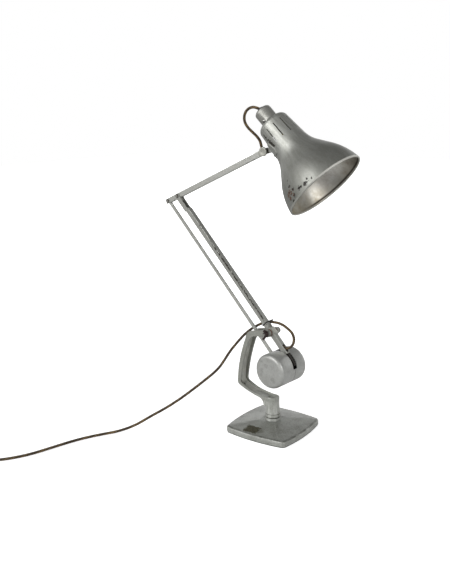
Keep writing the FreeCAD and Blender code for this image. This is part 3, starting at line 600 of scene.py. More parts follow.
def nearest(nodes, where, spots):
    """Distance to the nearest of the (middle, size in mm) spots, in sizes of that spot."""
    best = None
    for centre, size in spots:
        reach = nodes.length(nodes.vector("SUBTRACT", where, centre))
        reach = nodes.math("DIVIDE", reach, size * MM)
        best = reach if best is None else nodes.math("MINIMUM", best, reach)
    return best


def ragged_spots(nodes, where, spots, scale, tear):
    """Mask of the spots with torn edges."""
    torn = nodes.times(nodes.minus(nodes.noise(where, scale, 5.0, 0.7), 0.5), tear)
    return nodes.ramp(nodes.plus(nearest(nodes, where, spots), torn), 1.0, 0.82)


def from_axis(nodes, where, centre):
    """Distance from the line through a point along Y, the way that all the pins lie."""
    offset = nodes.vector("SUBTRACT", where, tuple(centre))
    return nodes.length(nodes.vector("MULTIPLY", offset, (1.0, 0.0, 1.0)))


# %% [markdown]
# The base lost a small plate long ago: a dark, ragged patch is left on its front slope,
# with a smear beside it. Each is a mask worked out from the distance to its middle. The
# line where the slopes meet the wall is darkened in patches, a painted shadow line, and
# the ridges between the slopes are painted lighter, a painted highlight.

# %% Base finish
# In metres: the patch's middle and half sizes, and where each mask begins and is full.
PATCH_MIDDLE, PATCH_HALF, PATCH_TURN = (-0.0085, -0.067), (0.0195, 0.0145), math.radians(5.5)
SMEAR_START, SMEAR_HALF = 0.022, (0.016, 0.011)
SLOPE_STARTS, RIDGE_WIDTH = (0.012, 0.0135), (0.0022, 0.0006)
SHADE_LINE = ((0.0132, 0.0139), (0.0161, 0.0152))


def base_wear_and_light(nodes, where, paint):
    x, y, z = nodes.xyz(where)
    across, up = nodes.minus(x, PATCH_MIDDLE[0]), nodes.minus(y, PATCH_MIDDLE[1])
    cosine, sine = math.cos(PATCH_TURN), math.sin(PATCH_TURN)
    along = nodes.plus(nodes.times(across, cosine), nodes.times(up, sine))
    over = nodes.size(nodes.minus(nodes.times(up, cosine), nodes.times(across, sine)))
    on_slope = nodes.ramp(z, *SLOPE_STARTS)

    # Painted shadow line where the slopes meet the wall, made patchy.
    line_shade = nodes.patches(where, (90.0, 4.0), 0.35, 0.65, 0.15, 0.65)
    paint.soil(nodes.times(nodes.band(z, *SHADE_LINE), line_shade), (62, 61, 54))

    # Painted highlight along the ridges between the slopes.
    ridge = nodes.ramp(nodes.size(nodes.minus(nodes.size(x), nodes.size(y))), *RIDGE_WIDTH)
    painted_light = nodes.patches(where, (55.0, 5.0, 0.65), 0.40, 0.62)
    paint.soil(nodes.times(ridge, painted_light, 0.35), (206, 207, 202), 0.0)

    smear = nodes.plus(
        nodes.math("DIVIDE", nodes.size(nodes.minus(along, SMEAR_START)), SMEAR_HALF[0]),
        nodes.math("DIVIDE", over, SMEAR_HALF[1]))
    smear = nodes.plus(smear, nodes.noise(where, 150.0, 5.0, 0.7))
    smear = nodes.ramp(smear, 1.6, 0.9, 0.0, 0.45)
    paint.soil(nodes.times(smear, on_slope), (74, 72, 58), 0.1)

    reach = nodes.math("MAXIMUM", nodes.math("DIVIDE", nodes.size(along), PATCH_HALF[0]),
                       nodes.math("DIVIDE", over, PATCH_HALF[1]))
    torn = nodes.times(nodes.noise(where, 190.0, 5.0, 0.65), 0.9)
    bare = nodes.ramp(nodes.plus(reach, torn), 1.5, 1.22)
    stain = nodes.blend(nodes.patches(where, (240.0, 4.0, 0.7), 0.35, 0.65),
                        (32, 30, 20), (84, 80, 55))
    paint.soil(nodes.times(bare, on_slope), stain)


weathered("base_paint", (164, 166, 161), (102, 102, 94), (58, 55, 46), (0.9, 0.2),
          (26.0, 230.0), 0.38, metallic=0.6, cast=(520.0, 60.0, 0.2), own_marks=base_wear_and_light,
          coat=0.4)

# %% [markdown]
# The drum's two halves meet in a fine seam. The slot's walls are painted near black, a
# painted shade for the deep slot, and the flat eye of the arm that works in it is dark oily
# steel. Hands have left a few faint smudges on the drum's face, and a knock has left a nick
# on its edge.

# %% Drum finish
SLOT_HALF, SEAM_HALF, DRUM_RADIUS = 0.0069, 0.00035, 0.0402
DRUM_MIDDLE = middle_of("drum_bar_pin")
DRUM_SMUDGES = [((0.0027, -0.047, 0.1817), 4.5), ((0.0060, -0.047, 0.1585), 5.5),
                ((0.0024, -0.047, 0.1485), 4.5), ((0.0377, -0.047, 0.1413), 7.0),
                ((0.0177, -0.047, 0.1724), 6.0)]
DRUM_NICK = [((0.0331, -0.0465, 0.1957), 1.3)]


def drum_wear_and_shade(nodes, where, paint):
    smudged = ragged_spots(nodes, where, DRUM_SMUDGES, 120.0, 2.4)
    paint.soil(nodes.times(smudged, 0.22), (84, 84, 78))
    paint.soil(ragged_spots(nodes, where, DRUM_NICK, 300.0, 1.0), (58, 56, 50))

    _, y, z = nodes.xyz(where)
    off_seam = nodes.size(y)
    ragged = nodes.plus(from_axis(nodes, where, DRUM_MIDDLE),
                        nodes.times(nodes.noise(where, 260.0, 4.0), 0.0012))
    # Painted shade: the slot's walls are near black. The seam is a dark joint and the lip has
    # dark rust.
    slot_shade = nodes.times(nodes.ramp(off_seam, SLOT_HALF + 0.0005, SLOT_HALF + 0.0002),
                       nodes.ramp(ragged, DRUM_RADIUS + 0.0004, DRUM_RADIUS - 0.0006))
    seam = nodes.ramp(off_seam, SEAM_HALF * 1.6, SEAM_HALF)
    lip = nodes.times(nodes.patches(where, (330.0, 5.0, 0.65), 0.52, 0.60),
                      nodes.ramp(off_seam, SLOT_HALF + 0.0022, SLOT_HALF + 0.0006),
                      nodes.ramp(z, DRUM_MIDDLE.z + 0.010, DRUM_MIDDLE.z + 0.022))
    black = nodes.math("MAXIMUM", nodes.math("MAXIMUM", slot_shade, seam), lip)
    paint.soil(black, (20, 18, 16), 0.1)


weathered("drum_paint", (166, 167, 164), (112, 112, 107), (70, 52, 38), (0.65, 0.12),
          (24.0, 230.0), 0.38, metallic=0.6, cast=(260.0, 30.0, 0.05), own_marks=drum_wear_and_shade,
          coat=0.3)
weathered("oily_steel", (50, 46, 41), (24, 22, 20), (88, 66, 50), (0.9, 0.3),
          (140.0, 400.0), 0.4, metallic=0.6)

# %% [markdown]
# The bracket is a channel. Its floor has pale patches of dust that also stand in for light,
# and it is painted darker along the near flange and lighter towards the far one, a painted
# shade and light. The corner of the C has a painted shadow and a painted highlight. The post
# was turned on a lathe, which left two fine dark rings, and its pale upright streaks are a
# painted highlight.

# %% Bracket finish
POST_RINGS, POST_TOP = (0.0327, 0.0404), (0.074, 0.068)
CHANNEL_HALF, CHANNEL_STARTS = (0.0109, 0.0106), (0.080, 0.084)
# Middle in metres and size in mm of the painted shadow and the painted highlight in the corner
# of the C.
CORNER_SHADOW = [((-0.0850, -0.0100, 0.1010), 5.0), ((-0.0805, -0.0085, 0.0960), 5.0)]
CORNER_HIGHLIGHT = [((-0.0822, 0.0036, 0.0952), 1.6), ((-0.0795, 0.0030, 0.0935), 1.4),
              ((-0.0765, 0.0022, 0.0920), 1.2)]


def bracket_wear_and_light(nodes, where, paint):
    _, y, z = nodes.xyz(where)
    raised = nodes.ramp(z, *CHANNEL_STARTS)
    floor = nodes.times(nodes.ramp(nodes.size(y), *CHANNEL_HALF), raised)
    # Pale dust on the channel floor, which also stands in for light there.
    dust_and_light = nodes.times(floor, nodes.patches(where, (60.0, 4.0, 0.6), 0.25, 0.75, 0.25, 0.9))
    paint.tint(nodes.times(raised, 0.45), (128, 129, 121))
    paint.soil(dust_and_light, (206, 206, 197))
    # Painted shade along the near flange, and painted light towards the far one.
    near_shade = nodes.ramp(y, -0.0030, -0.0098, 0.0, 0.5)
    far_light = nodes.ramp(y, 0.0010, 0.0085, 0.0, 0.4)
    paint.soil(nodes.times(floor, near_shade), (72, 72, 64))
    paint.tint(nodes.times(floor, far_light), (232, 232, 226))
    # Painted shadow in the corner of the C, and a painted highlight next to it.
    corner = ragged_spots(nodes, where, CORNER_SHADOW, 90.0, 2.0)
    paint.soil(nodes.times(corner, 0.8), (42, 40, 34))
    painted_light = ragged_spots(nodes, where, CORNER_HIGHLIGHT, 200.0, 0.8)
    paint.tint(nodes.times(painted_light, 0.8), (214, 214, 208))

    # Painted highlight: pale upright streaks on the post.
    upright = nodes.vector("MULTIPLY", where, (1.0, 1.0, 0.06))
    marks = nodes.patches(upright, (300.0, 3.0), 0.38, 0.66, 0.0, 0.34)
    paint.tint(nodes.times(nodes.ramp(z, *POST_TOP), marks), (226, 227, 222))
    for ring in POST_RINGS:
        line = nodes.ramp(nodes.size(nodes.minus(z, ring)), 0.0009, 0.0004, 0.0, 0.8)
        paint.soil(line, (52, 49, 42), 0.1)


weathered("bracket_paint", (164, 166, 160), (112, 112, 103), (62, 56, 44), (0.8, 0.18),
          (30.0, 210.0), 0.33, metallic=0.65, cast=(560.0, 75.0, 0.10), own_marks=bracket_wear_and_light,
          coat=0.3)

# %% [markdown]
# The arms are silvered square tubes. Their corners are rubbed down to dark steel, most of
# all along the main arm's front corner, where hands have pushed it for years. The frame's
# own joints say where each tube starts and how far it is turned.

# %% Arm finishes
joints = {joint["name"]: joint for joint in frame["joints"]}
joint_at = {name: Vector(joint["pos_m"]) for name, joint in joints.items() if "pos_m" in joint}
main_line = joint_at["elbow"] - joint_at["arm_pitch"]
upper_line = joint_at["elbow"] - joint_at["bar_follow"]
MAIN_COLOURS = ((171, 172, 167), (117, 116, 108), (66, 54, 42))
SLIM_COLOURS = ((188, 189, 184), (134, 133, 125), (66, 54, 42))
# For each tube: its colours, the joint that it starts at, its line, half its width and its
# depth, how far its middle is shifted, the stretch that is worn most, and how sparse its
# chips are.
TUBES = {
    "main_arm_paint": (MAIN_COLOURS, "arm_pitch", main_line, 0.00635, 0.00635, 0.0015,
                       (0.02, 0.26), 0.66),
    "upper_arm_paint": (SLIM_COLOURS, "elbow", upper_line, 0.0048, 0.00635, 0.0,
                        (0.22, 0.29), 0.72),
    "bar_paint": (SLIM_COLOURS, "bar_follow", main_line, 0.0018, 0.004, 0.0,
                  (-0.4, 0.2), 0.74)}


def tube_wear(start, line, half_width, half_depth, shift, worn, sparse):
    """Chips along a tube's corners, thickest on the stretch that is worn most."""
    def own_marks(nodes, where, paint):
        tube = nodes.group("square_edges", {
            "Vector": where, "Origin": tuple(joint_at[start]),
            "Angle": math.atan2(line.z, line.x), "Half width": half_width,
            "Half depth": half_depth, "Shift": shift})
        handled = nodes.band(tube["Along"], (worn[0] - 0.02, worn[0] + 0.02),
                             (worn[1] + 0.03, worn[1] - 0.03))
        share = nodes.times(tube["Edge"], nodes.plus(nodes.times(handled, 0.75), 0.25))
        chips = nodes.group("chips", {"Vector": tube["Stretched"], "Mask": share,
                                      "Scale": 460.0, "Sparse": sparse})["Chips"]
        paint.soil(chips, (52, 49, 43), 0.1)
    return own_marks


for name, (colours, *shape) in TUBES.items():
    weathered(name, *colours, (0.7, 0.16), (40.0, 260.0), 0.31, metallic=0.8,
              own_marks=tube_wear(*shape))

# %% [markdown]
# The two pins that show on the upper arm are hollow. Their ends keep a pale middle and are
# darker in a collar round it, so the mask is the distance from the pin's own axis, which
# is the joint's.

# %% Pin finishes


def pin_wear(centre):
    """Dark collar round a pale hollow end."""
    def own_marks(nodes, where, paint):
        reach = from_axis(nodes, where, centre)
        collar = nodes.times(nodes.ramp(reach, 0.0019, 0.0024), 0.85)
        paint.soil(collar, (48, 44, 40), 0.15)
    return own_marks


for name, joint in (("elbow_pin_steel", "elbow"), ("rear_pin_steel", "bar_follow")):
    weathered(name, (168, 166, 160), (96, 90, 82), (70, 48, 32), (0.7, 0.2),
              (90.0, 500.0), 0.4, metallic=0.7, own_marks=pin_wear(joint_at[joint]))

# %% [markdown]
# The shade was sprayed with the same silver. Years of hands, heat and dust have drawn
# faint streaks down it, and the paint has chipped to brown primer in one place near the
# rim. Outside, the flare is painted darker towards the mouth, a painted shade, and the neck
# lighter, a painted highlight. Inside, it is a warmer silver, browned by the lamp's heat,
# with a painted shade on one side near the mouth and a dark painted shade in the crease of
# the rim. The masks come from the distance above the mouth and the direction out of the
# axis, which one group works out for every finish on the head.

# %% Spun marks group
MOUTH = Vector((0.13290, 0.01166, 0.57763))
SHADE_AXIS = Vector((-0.70055, -0.08744, 0.70823)).normalized()
nodes, given, handed = new_group(
    "spun_marks", {"Vector": "Vector"},
    {"Height": "Float", "Spoke": "Vector", "Streaks": "Float", "Rings": "Float"})
offset = nodes.vector("SUBTRACT", given["Vector"], tuple(MOUTH))
height = nodes.vector("DOT_PRODUCT", offset, tuple(SHADE_AXIS), "Value")
axial = nodes.add("ShaderNodeCombineXYZ", {
    letter: nodes.times(height, part) for letter, part in zip("XYZ", SHADE_AXIS)}).outputs[0]
spoke = nodes.vector("NORMALIZE", nodes.vector("SUBTRACT", offset, axial))
drawn = nodes.vector("ADD", spoke, nodes.vector("MULTIPLY", axial, (4.0, 4.0, 4.0)))
ring_spot = nodes.add("ShaderNodeCombineXYZ", {"X": nodes.times(height, 900.0)}).outputs[0]
nodes.feed(handed, {"Height": height, "Spoke": spoke,
                    "Streaks": nodes.patches(drawn, (7.0, 5.0, 0.6), 0.38, 0.66),
                    "Rings": nodes.noise(ring_spot, 1.0, 2.0)})


def towards(nodes, marks, side, low, high):
    """Mask of the part of the shade that lies towards a side."""
    facing = nodes.vector("DOT_PRODUCT", marks["Spoke"], tuple(side), "Value")
    return nodes.ramp(facing, low, high)


# %% [markdown]
# The chips cluster where the shade is taken hold of, so each has its own place and size.
# Noise tears their edges, and the ones round a middle point have rusted. The same kind of
# spots make a painted shadow along the edge of the pressed strap behind the shade.

# %% Outside of the shade
# Middle in metres and size in mm of each chip, of the rusted part, and of the painted shadow by
# the strap.
CHIPS = [((0.1437, -0.0771, 0.5921), 4.2), ((0.1475, -0.0757, 0.5948), 3.2),
         ((0.1310, -0.0784, 0.5839), 4.4), ((0.1345, -0.0780, 0.5865), 2.6),
         ((0.1012, -0.0721, 0.5834), 3.6), ((0.1129, -0.0759, 0.5794), 3.2),
         ((0.1013, -0.0722, 0.5715), 5.2), ((0.1088, -0.0747, 0.5709), 4.4),
         ((0.1165, -0.0765, 0.5672), 3.8), ((0.0984, -0.0703, 0.5648), 4.6),
         ((0.1045, -0.0719, 0.5588), 4.6), ((0.1143, -0.0745, 0.5546), 4.4),
         ((0.0940, -0.0684, 0.5900), 1.8), ((0.0922, -0.0676, 0.5938), 2.4),
         ((0.1552, -0.0723, 0.6034), 1.8), ((0.1461, -0.0742, 0.6019), 2.2)]
RUSTY = [((0.1040, -0.0728, 0.5690), 15.0)]
STRAP_SHADOW = [((0.0316, -0.0366, 0.6612), 6.5), ((0.0270, -0.0368, 0.6655), 5.0),
              ((0.0229, -0.0366, 0.6697), 3.6), ((0.0180, -0.0360, 0.6735), 2.6),
              ((0.0115, -0.0355, 0.6789), 2.4), ((0.0066, -0.0345, 0.6825), 2.0)]
KNUCKLE = joint_at["head_tilt"]


def outside_wear_and_light(nodes, where, paint):
    marks = nodes.group("spun_marks", {"Vector": where})
    # Painted shade: the flare darkens towards the mouth. Painted highlight: the neck is lighter.
    paint.tint(nodes.ramp(marks["Height"], 0.100, 0.035, 0.0, 0.40), (100, 101, 95))
    paint.tint(nodes.ramp(marks["Height"], 0.085, 0.140, 0.0, 0.16), (200, 201, 196))
    paint.tint(nodes.times(marks["Streaks"], 0.35), (108, 108, 100))
    paint.rough = nodes.plus(paint.rough, nodes.times(marks["Rings"], 0.06))
    rusted = nodes.times(nodes.ramp(nearest(nodes, where, RUSTY), 1.0, 0.7),
                         nodes.patches(where, (420.0, 3.0), 0.40, 0.55))
    primer = nodes.blend(rusted, (46, 42, 37), (118, 92, 76))
    paint.soil(ragged_spots(nodes, where, CHIPS, 240.0, 5.0), primer, 0.25)
    # Painted shadow along the edge of the strap.
    paint.soil(ragged_spots(nodes, where, STRAP_SHADOW, 260.0, 3.0), (56, 53, 46))


def strap_shadow(nodes, where, paint):
    """Painted shadow on the strap round the pivot."""
    reach = nodes.length(nodes.vector("SUBTRACT", where, tuple(KNUCKLE)))
    torn = nodes.plus(reach, nodes.times(nodes.noise(where, 260.0, 4.0), 0.006))
    paint.soil(nodes.ramp(torn, 0.021, 0.016), (40, 37, 30), 0.1)


weathered("shade_paint", (160, 161, 156), (120, 120, 112), (84, 66, 48), (0.55, 0.1),
          (16.0, 190.0), 0.38, bump=0.1, metallic=0.85, own_marks=outside_wear_and_light, coat=0.25)
weathered("strap_paint", (158, 159, 154), (120, 120, 112), (84, 66, 48), (0.6, 0.1),
          (30.0, 190.0), 0.40, bump=0.1, metallic=0.8, own_marks=strap_shadow)

# %% Inside of the shade and its rim
BROWNED_SIDE, FAR_SIDE = Vector((-0.70, 0.05, -0.71)), Vector((0.0, 0.90, 0.43))
# Sides towards which the inside and the bead are painted darker, a painted shade.
SHADED_SIDE = Vector((0.40, 0.80, 0.45)).normalized()
RIM_SHADE_SIDE = Vector((-0.10, -0.85, -0.28)).normalized()
# Heights above the mouth, in metres, where the painted shade in the crease behind the bead rises
# and where it fades.
CREASE_SHADE = ((0.0031, 0.0056), (0.0098, 0.0062))


def inside_wear_and_shade(nodes, where, paint):
    marks = nodes.group("spun_marks", {"Vector": where})
    height = marks["Height"]
    browned = nodes.times(nodes.ramp(height, 0.085, 0.01),
                          towards(nodes, marks, BROWNED_SIDE, 0.25, 0.9),
                          nodes.patches(where, (45.0, 5.0, 0.65), 0.25, 0.7, 0.2, 0.7))
    paint.soil(browned, (140, 127, 98))
    spots = nodes.times(nodes.patches(where, (42.0, 5.0, 0.7), 0.36, 0.74),
                        towards(nodes, marks, FAR_SIDE, 0.2, 0.9), 0.6)
    paint.soil(spots, (124, 108, 94))
    # Painted shade on one side near the mouth, and a dark painted shade in the crease behind the
    # bead.
    shaded = nodes.times(nodes.ramp(height, 0.045, 0.008, 0.0, 0.55),
                         towards(nodes, marks, SHADED_SIDE, -0.2, 0.8))
    paint.tint(shaded, (104, 96, 80))
    crease_shade = nodes.times(nodes.band(height, *CREASE_SHADE),
                         towards(nodes, marks, SHADED_SIDE, -0.5, 0.0), 0.9)
    paint.soil(crease_shade, (44, 40, 30))


def rim_shading(nodes, where, paint):
    """The bead is painted darker on one side, a painted shade where its highlight fades."""
    marks = nodes.group("spun_marks", {"Vector": where})
    painted_light = nodes.times(towards(nodes, marks, RIM_SHADE_SIDE, 0.30, 0.95), 0.8)
    paint.soil(painted_light, (112, 113, 106), 0.0)


weathered("shade_inside", (206, 206, 202), (160, 157, 147), (120, 104, 82), (0.5, 0.1),
          (20.0, 150.0), 0.27, metallic=0.92, own_marks=inside_wear_and_shade)
# The bead's finish is a lighter, less metallic copy of the shade's silver: a painted highlight.
weathered("rim_paint", (196, 196, 190), (146, 142, 130), (84, 66, 48), (0.5, 0.2),
          (40.0, 230.0), 0.42, bump=0.1, metallic=0.2, own_marks=rim_shading)

# %% [markdown]
# The small parts need no marks of their own, so a table holds them: surface, grime, what
# is beneath, the two amounts, the two scales and the gloss, as weathered() takes them. The
# switch is the exception: its ivory bar is painted black below a set height, a painted
# light on its top and a painted shade below.

# %% Small materials
SMALL = {
    "plain_steel": ((150, 150, 146), (80, 76, 68), (70, 48, 32), (0.85, 0.2), (90.0, 500.0),
                    0.35, {"metallic": 0.8}),
    "rusty_steel": ((54, 41, 38), (34, 27, 25), (92, 60, 46), (0.9, 0.35), (160.0, 420.0),
                    0.6, {"bump": 0.5, "metallic": 0.2}),
    "knuckle_paint": ((178, 178, 170), (130, 129, 120), (66, 54, 42), (0.6, 0.16),
                      (60.0, 260.0), 0.42, {"metallic": 0.6}),
    "cover_metal": ((160, 160, 155), (112, 111, 104), (70, 62, 50), (0.6, 0.1),
                    (60.0, 320.0), 0.38, {"metallic": 0.8}),
    "fibre": ((104, 74, 64), (66, 48, 42), (56, 40, 34), (0.6, 0.1), (120.0, 500.0), 0.7, {}),
    "black_rubber": ((34, 33, 32), (52, 50, 46), (24, 23, 22), (0.5, 0.1), (120.0, 500.0),
                     0.6, {}),
    "plug_plastic": ((52, 42, 36), (34, 28, 25), (80, 66, 54), (0.5, 0.1), (60.0, 400.0),
                     0.3, {}),
    "brass": ((188, 158, 96), (120, 98, 60), (80, 62, 40), (0.7, 0.1), (120.0, 500.0), 0.3,
              {"metallic": 1.0}),
    "holder_plastic": ((58, 42, 34), (36, 28, 24), (84, 64, 52), (0.5, 0.1), (80.0, 400.0),
                       0.28, {}),
    "felt": ((62, 68, 60), (40, 44, 40), (84, 88, 80), (0.8, 0.4), (200.0, 900.0), 0.9,
             {"bump": 0.6})}
# Height in metres below which the switch bar is painted black, a painted shade.
SWITCH_SHADE_LINE = 0.7131


def switch_shading(nodes, where, paint):
    """The push bar is painted black below a set height and ivory above it: a painted shade below
    its lit top.
    """
    black = nodes.ramp(nodes.xyz(where)[2], SWITCH_SHADE_LINE + 0.0002, SWITCH_SHADE_LINE - 0.0002)
    paint.soil(black, (30, 29, 27), 0.1)


for name, (*values, options) in SMALL.items():
    weathered(name, *values, **options)
weathered("ivory", (244, 243, 238), (206, 200, 184), (150, 134, 108), (0.3, 0.05),
          (200.0, 600.0), 0.3, own_marks=switch_shading)

# %% [markdown]
# The flex and the bulb aren't painted, so they do without the weathered group. The braid
# is dark rayon with an ochre fleck, and it reads the cord's own UV map, so that its
# strands stay the same size round every bend. The bulb is pearl glass, which is made soft
# by a little light below its surface.

# %% Braid and glass
BRAID_STRANDS, BRAID_PITCH = 8.0, 0.0075


def add_braid():
    nodes, shader, where = new_material("flex_braid")
    uv = nodes.add("ShaderNodeUVMap", uv_map="along").outputs["UV"]
    braid = nodes.group("braid", {"UV": uv, "Strands": BRAID_STRANDS, "Pitch": BRAID_PITCH})
    dark = nodes.blend(nodes.noise(where, 700.0, 3.0), (41, 33, 24), (76, 62, 43))
    fleck = nodes.blend(nodes.noise(where, 500.0, 2.0), (100, 81, 52), (146, 121, 79))
    nodes.feed(shader, {"Base Color": nodes.blend(braid["Fleck"], dark, fleck),
                        "Roughness": 0.72, "Sheen Weight": 0.1, "Specular IOR Level": 0.25,
                        "Normal": nodes.bump(braid["Height"], 0.7, 0.35)})


def add_glass():
    nodes, shader, where = new_material("opal_glass")
    white = nodes.blend(nodes.noise(where, 60.0, 3.0), (244, 243, 238), (226, 224, 214))
    nodes.feed(shader, {"Base Color": white, "Roughness": 0.25, "Subsurface Weight": 0.3,
                        "Coat Weight": 0.4})


add_braid()
add_glass()
for cord in (mains_cord, head_cord):
    cord.data.materials.append(finishes["flex_braid"])
print("finishes:", len(finishes))

# %% [markdown]
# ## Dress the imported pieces
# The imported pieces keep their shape. Their corners are sharp, so a live Weld and Bevel
# break the edges as a file or a thick coat of paint does, which catches the light.

# %% Assign finishes and soften edges
# The pieces that wear each finish, the width in mm that is taken off the edges, and the
# angle in degrees past which an edge counts as sharp.
PIECES = {
    "base_paint": ["base_casting"],
    "felt": ["base_felt"],
    "bracket_paint": ["bracket_casting", "pivot_saddle"],
    "drum_paint": ["drum_near_half", "drum_far_half"],
    "main_arm_paint": ["main_arm_tube", "elbow_yoke"],
    "upper_arm_paint": ["upper_arm_tube"],
    "bar_paint": ["parallel_bar"],
    "knuckle_paint": ["head_knuckle", "tilt_screw"],
    "oily_steel": ["arm_lower_eye", "drum_arm_pin", "drum_bar_pin", "tilt_nut",
                   "swivel_washer"],
    "plain_steel": ["swivel_spindle", "spindle_washer", "spindle_nut", "pivot_bolt",
                    "wing_washer", "arm_end_socket"],
    "elbow_pin_steel": ["elbow_pin"],
    "rear_pin_steel": ["rear_pin"],
    "rusty_steel": ["wing_nut"],
    "fibre": ["near_fibre_washer", "far_fibre_washer"],
    "shade_paint": ["shade"],
    "strap_paint": ["shade_bracket", "bracket_rivets"],
    "cover_metal": ["lampholder_cover"],
    "holder_plastic": ["lampholder_body", "shade_ring"],
    "black_rubber": ["flex_tie", "main_arm_wires", "upper_arm_wires", "cover_grommet"],
    "plug_plastic": ["plug_body"],
    "brass": ["pivot_bush", "bulb_cap", "plug_pins"],
    "ivory": ["switch_bar"],
    "opal_glass": ["bulb_glass"]}
EDGE_WIDTHS = {"base_casting": 1.2, "bracket_casting": 0.9, "drum_near_half": 0.6,
               "drum_far_half": 0.6, "main_arm_tube": 0.25, "upper_arm_tube": 0.25,
               "elbow_yoke": 0.3, "parallel_bar": 0.4, "head_knuckle": 0.4, "wing_nut": 0.5,
               "plug_body": 0.8, "shade_bracket": 0.25, "pivot_saddle": 0.3,
               "lampholder_cover": 0.2, "pivot_bolt": 0.4, "tilt_screw": 0.3}
EDGE_SHARP, EDGE_CUTS, MICRON = 38, 2, 0.001 * MM


def soften(node, width):
    """Weld the loose triangles and round the sharp edges."""
    weld = node.modifiers.new("weld", "WELD")
    weld.merge_threshold = MICRON
    bevel = node.modifiers.new("edges", "BEVEL")
    bevel.width = width * MM
    bevel.segments = EDGE_CUTS
    bevel.limit_method = "ANGLE"
    bevel.angle_limit = math.radians(EDGE_SHARP)
    bevel.harden_normals = False


for finish, names in PIECES.items():
    for name in names:
        slots = frame["nodes"][name].data.materials
        for place in range(len(slots)):
            slots[place] = finishes[finish]
        if not slots:
            slots.append(finishes[finish])
for name, width in EDGE_WIDTHS.items():
    soften(frame["nodes"][name], width)
print("finished nodes:", sum(len(names) for names in PIECES.values()))

# %% [markdown]
# ## The spun shade
# A spinner presses a disc over a wooden form: a flared mouth, a tapered neck and a
# rounded shoulder. The lathe turns the wall's own outline, and the vents are cut by a
# ring of slots that Geometry Nodes place round the neck.

# %% Spin the shade
MOUTH_RADIUS, SHADE_LENGTH, HOLE_RADIUS, WALL = 91.5, 188.0, 14.8, 1.0
BEAD, BEAD_LIFT, QUARTER = 1.7, 1.2, 0.4142
SHADE_ARC, SHADE_EDGE, SHADE_SEGMENTS = 14, 4.0, 180
# Outer wall from the rim to the holder's hole, then the inner wall back to the rim, and
# three arcs round the bead that the rim is rolled into.
SHADE_WALL = [(MOUTH_RADIUS, BEAD_LIFT, 0.122), (66, 66), (52, 87.5, -0.121), (40, 121),
              (35.3, 175, 0.38), (25, SHADE_LENGTH), (HOLE_RADIUS, SHADE_LENGTH),
              (HOLE_RADIUS, SHADE_LENGTH - WALL), (25, SHADE_LENGTH - WALL, -0.38),
              (35.3 - WALL, 175), (40 - WALL, 121, 0.121), (51.1, 87.1), (65.1, 65.6, -0.122),
              (MOUTH_RADIUS - 0.6 * BEAD, BEAD_LIFT + 0.92 * BEAD, 0.543),
              (MOUTH_RADIUS - 2 * BEAD, BEAD_LIFT, QUARTER),
              (MOUTH_RADIUS - BEAD, BEAD_LIFT - BEAD, QUARTER)]
tilt_axis = Vector(joints["head_tilt"]["axis"])


def standing_on(point, side, axis):
    """Place with its origin at a point, its X along a side and its Z along an axis."""
    turn = Matrix((side, axis.cross(side), axis)).transposed()
    return Matrix.Translation(point) @ turn.to_4x4()


SHADE_PLACE = standing_on(MOUTH, tilt_axis.cross(SHADE_AXIS).normalized(), SHADE_AXIS)
shade_outline = refine(profile(SHADE_WALL, SHADE_ARC), SHADE_EDGE)
shade_piece = lathe("spun_shade", shade_outline, SHADE_PLACE, SHADE_SEGMENTS)
print("shade faces:", len(shade_piece.data.polygons))

# %% Geometry Nodes for the vents
VENTS, VENT_WIDTH, VENT_LENGTH, VENT_DEPTH = 12, 2.2, 37.0, 12.0
VENT_RING, VENT_LOW, VENT_TURN = 37.5, 133.5, 3.3


def vent_tree():
    """Geometry nodes that subtract a ring of upright slots from a turned wall."""
    nodes, given, handed = new_group(
        "vent_ring",
        {"Geometry": "Geometry", "Width": "Float", "Length": "Float", "Depth": "Float",
         "Ring": "Float", "Count": "Int", "Material": "Material"},
        {"Geometry": "Geometry"}, "GeometryNodeTree")
    ring = nodes.add("GeometryNodeMeshCircle", {"Vertices": given["Count"],
                                                "Radius": given["Ring"]})
    size = nodes.add("ShaderNodeCombineXYZ", {"X": given["Depth"], "Y": given["Width"],
                                              "Z": given["Length"]})
    slot = nodes.add("GeometryNodeMeshCube", {"Size": size.outputs[0]})
    x, y, _ = nodes.xyz(nodes.add("GeometryNodeInputPosition").outputs[0])
    turn = nodes.add("ShaderNodeCombineXYZ", {"Z": nodes.math("ARCTAN2", y, x)})
    slots = nodes.add("GeometryNodeInstanceOnPoints", {
        "Points": ring.outputs["Mesh"], "Instance": slot.outputs["Mesh"],
        "Rotation": turn.outputs[0]})
    solid = nodes.add("GeometryNodeRealizeInstances", {"Geometry": slots.outputs[0]})
    lift = Matrix.Translation((0, 0, (VENT_LOW + VENT_LENGTH / 2) * MM))
    place = SHADE_PLACE @ lift @ Matrix.Rotation(math.radians(VENT_TURN), 4, "Z")
    moved = nodes.add("GeometryNodeTransform", {
        "Geometry": solid.outputs[0], "Translation": place.translation,
        "Rotation": place.to_euler()})
    cut = nodes.add("GeometryNodeMeshBoolean", {
        "Mesh 1": given["Geometry"], "Mesh 2": moved.outputs[0]},
        operation="DIFFERENCE", solver="EXACT")
    real = nodes.add("GeometryNodeRealizeInstances", {"Geometry": cut.outputs["Mesh"]})
    inked = nodes.add("GeometryNodeSetMaterial", {"Geometry": real.outputs[0],
                                                  "Material": given["Material"]})
    nodes.feed(handed, {"Geometry": inked.outputs[0]})
    return nodes.tree


# %% Cut the vents


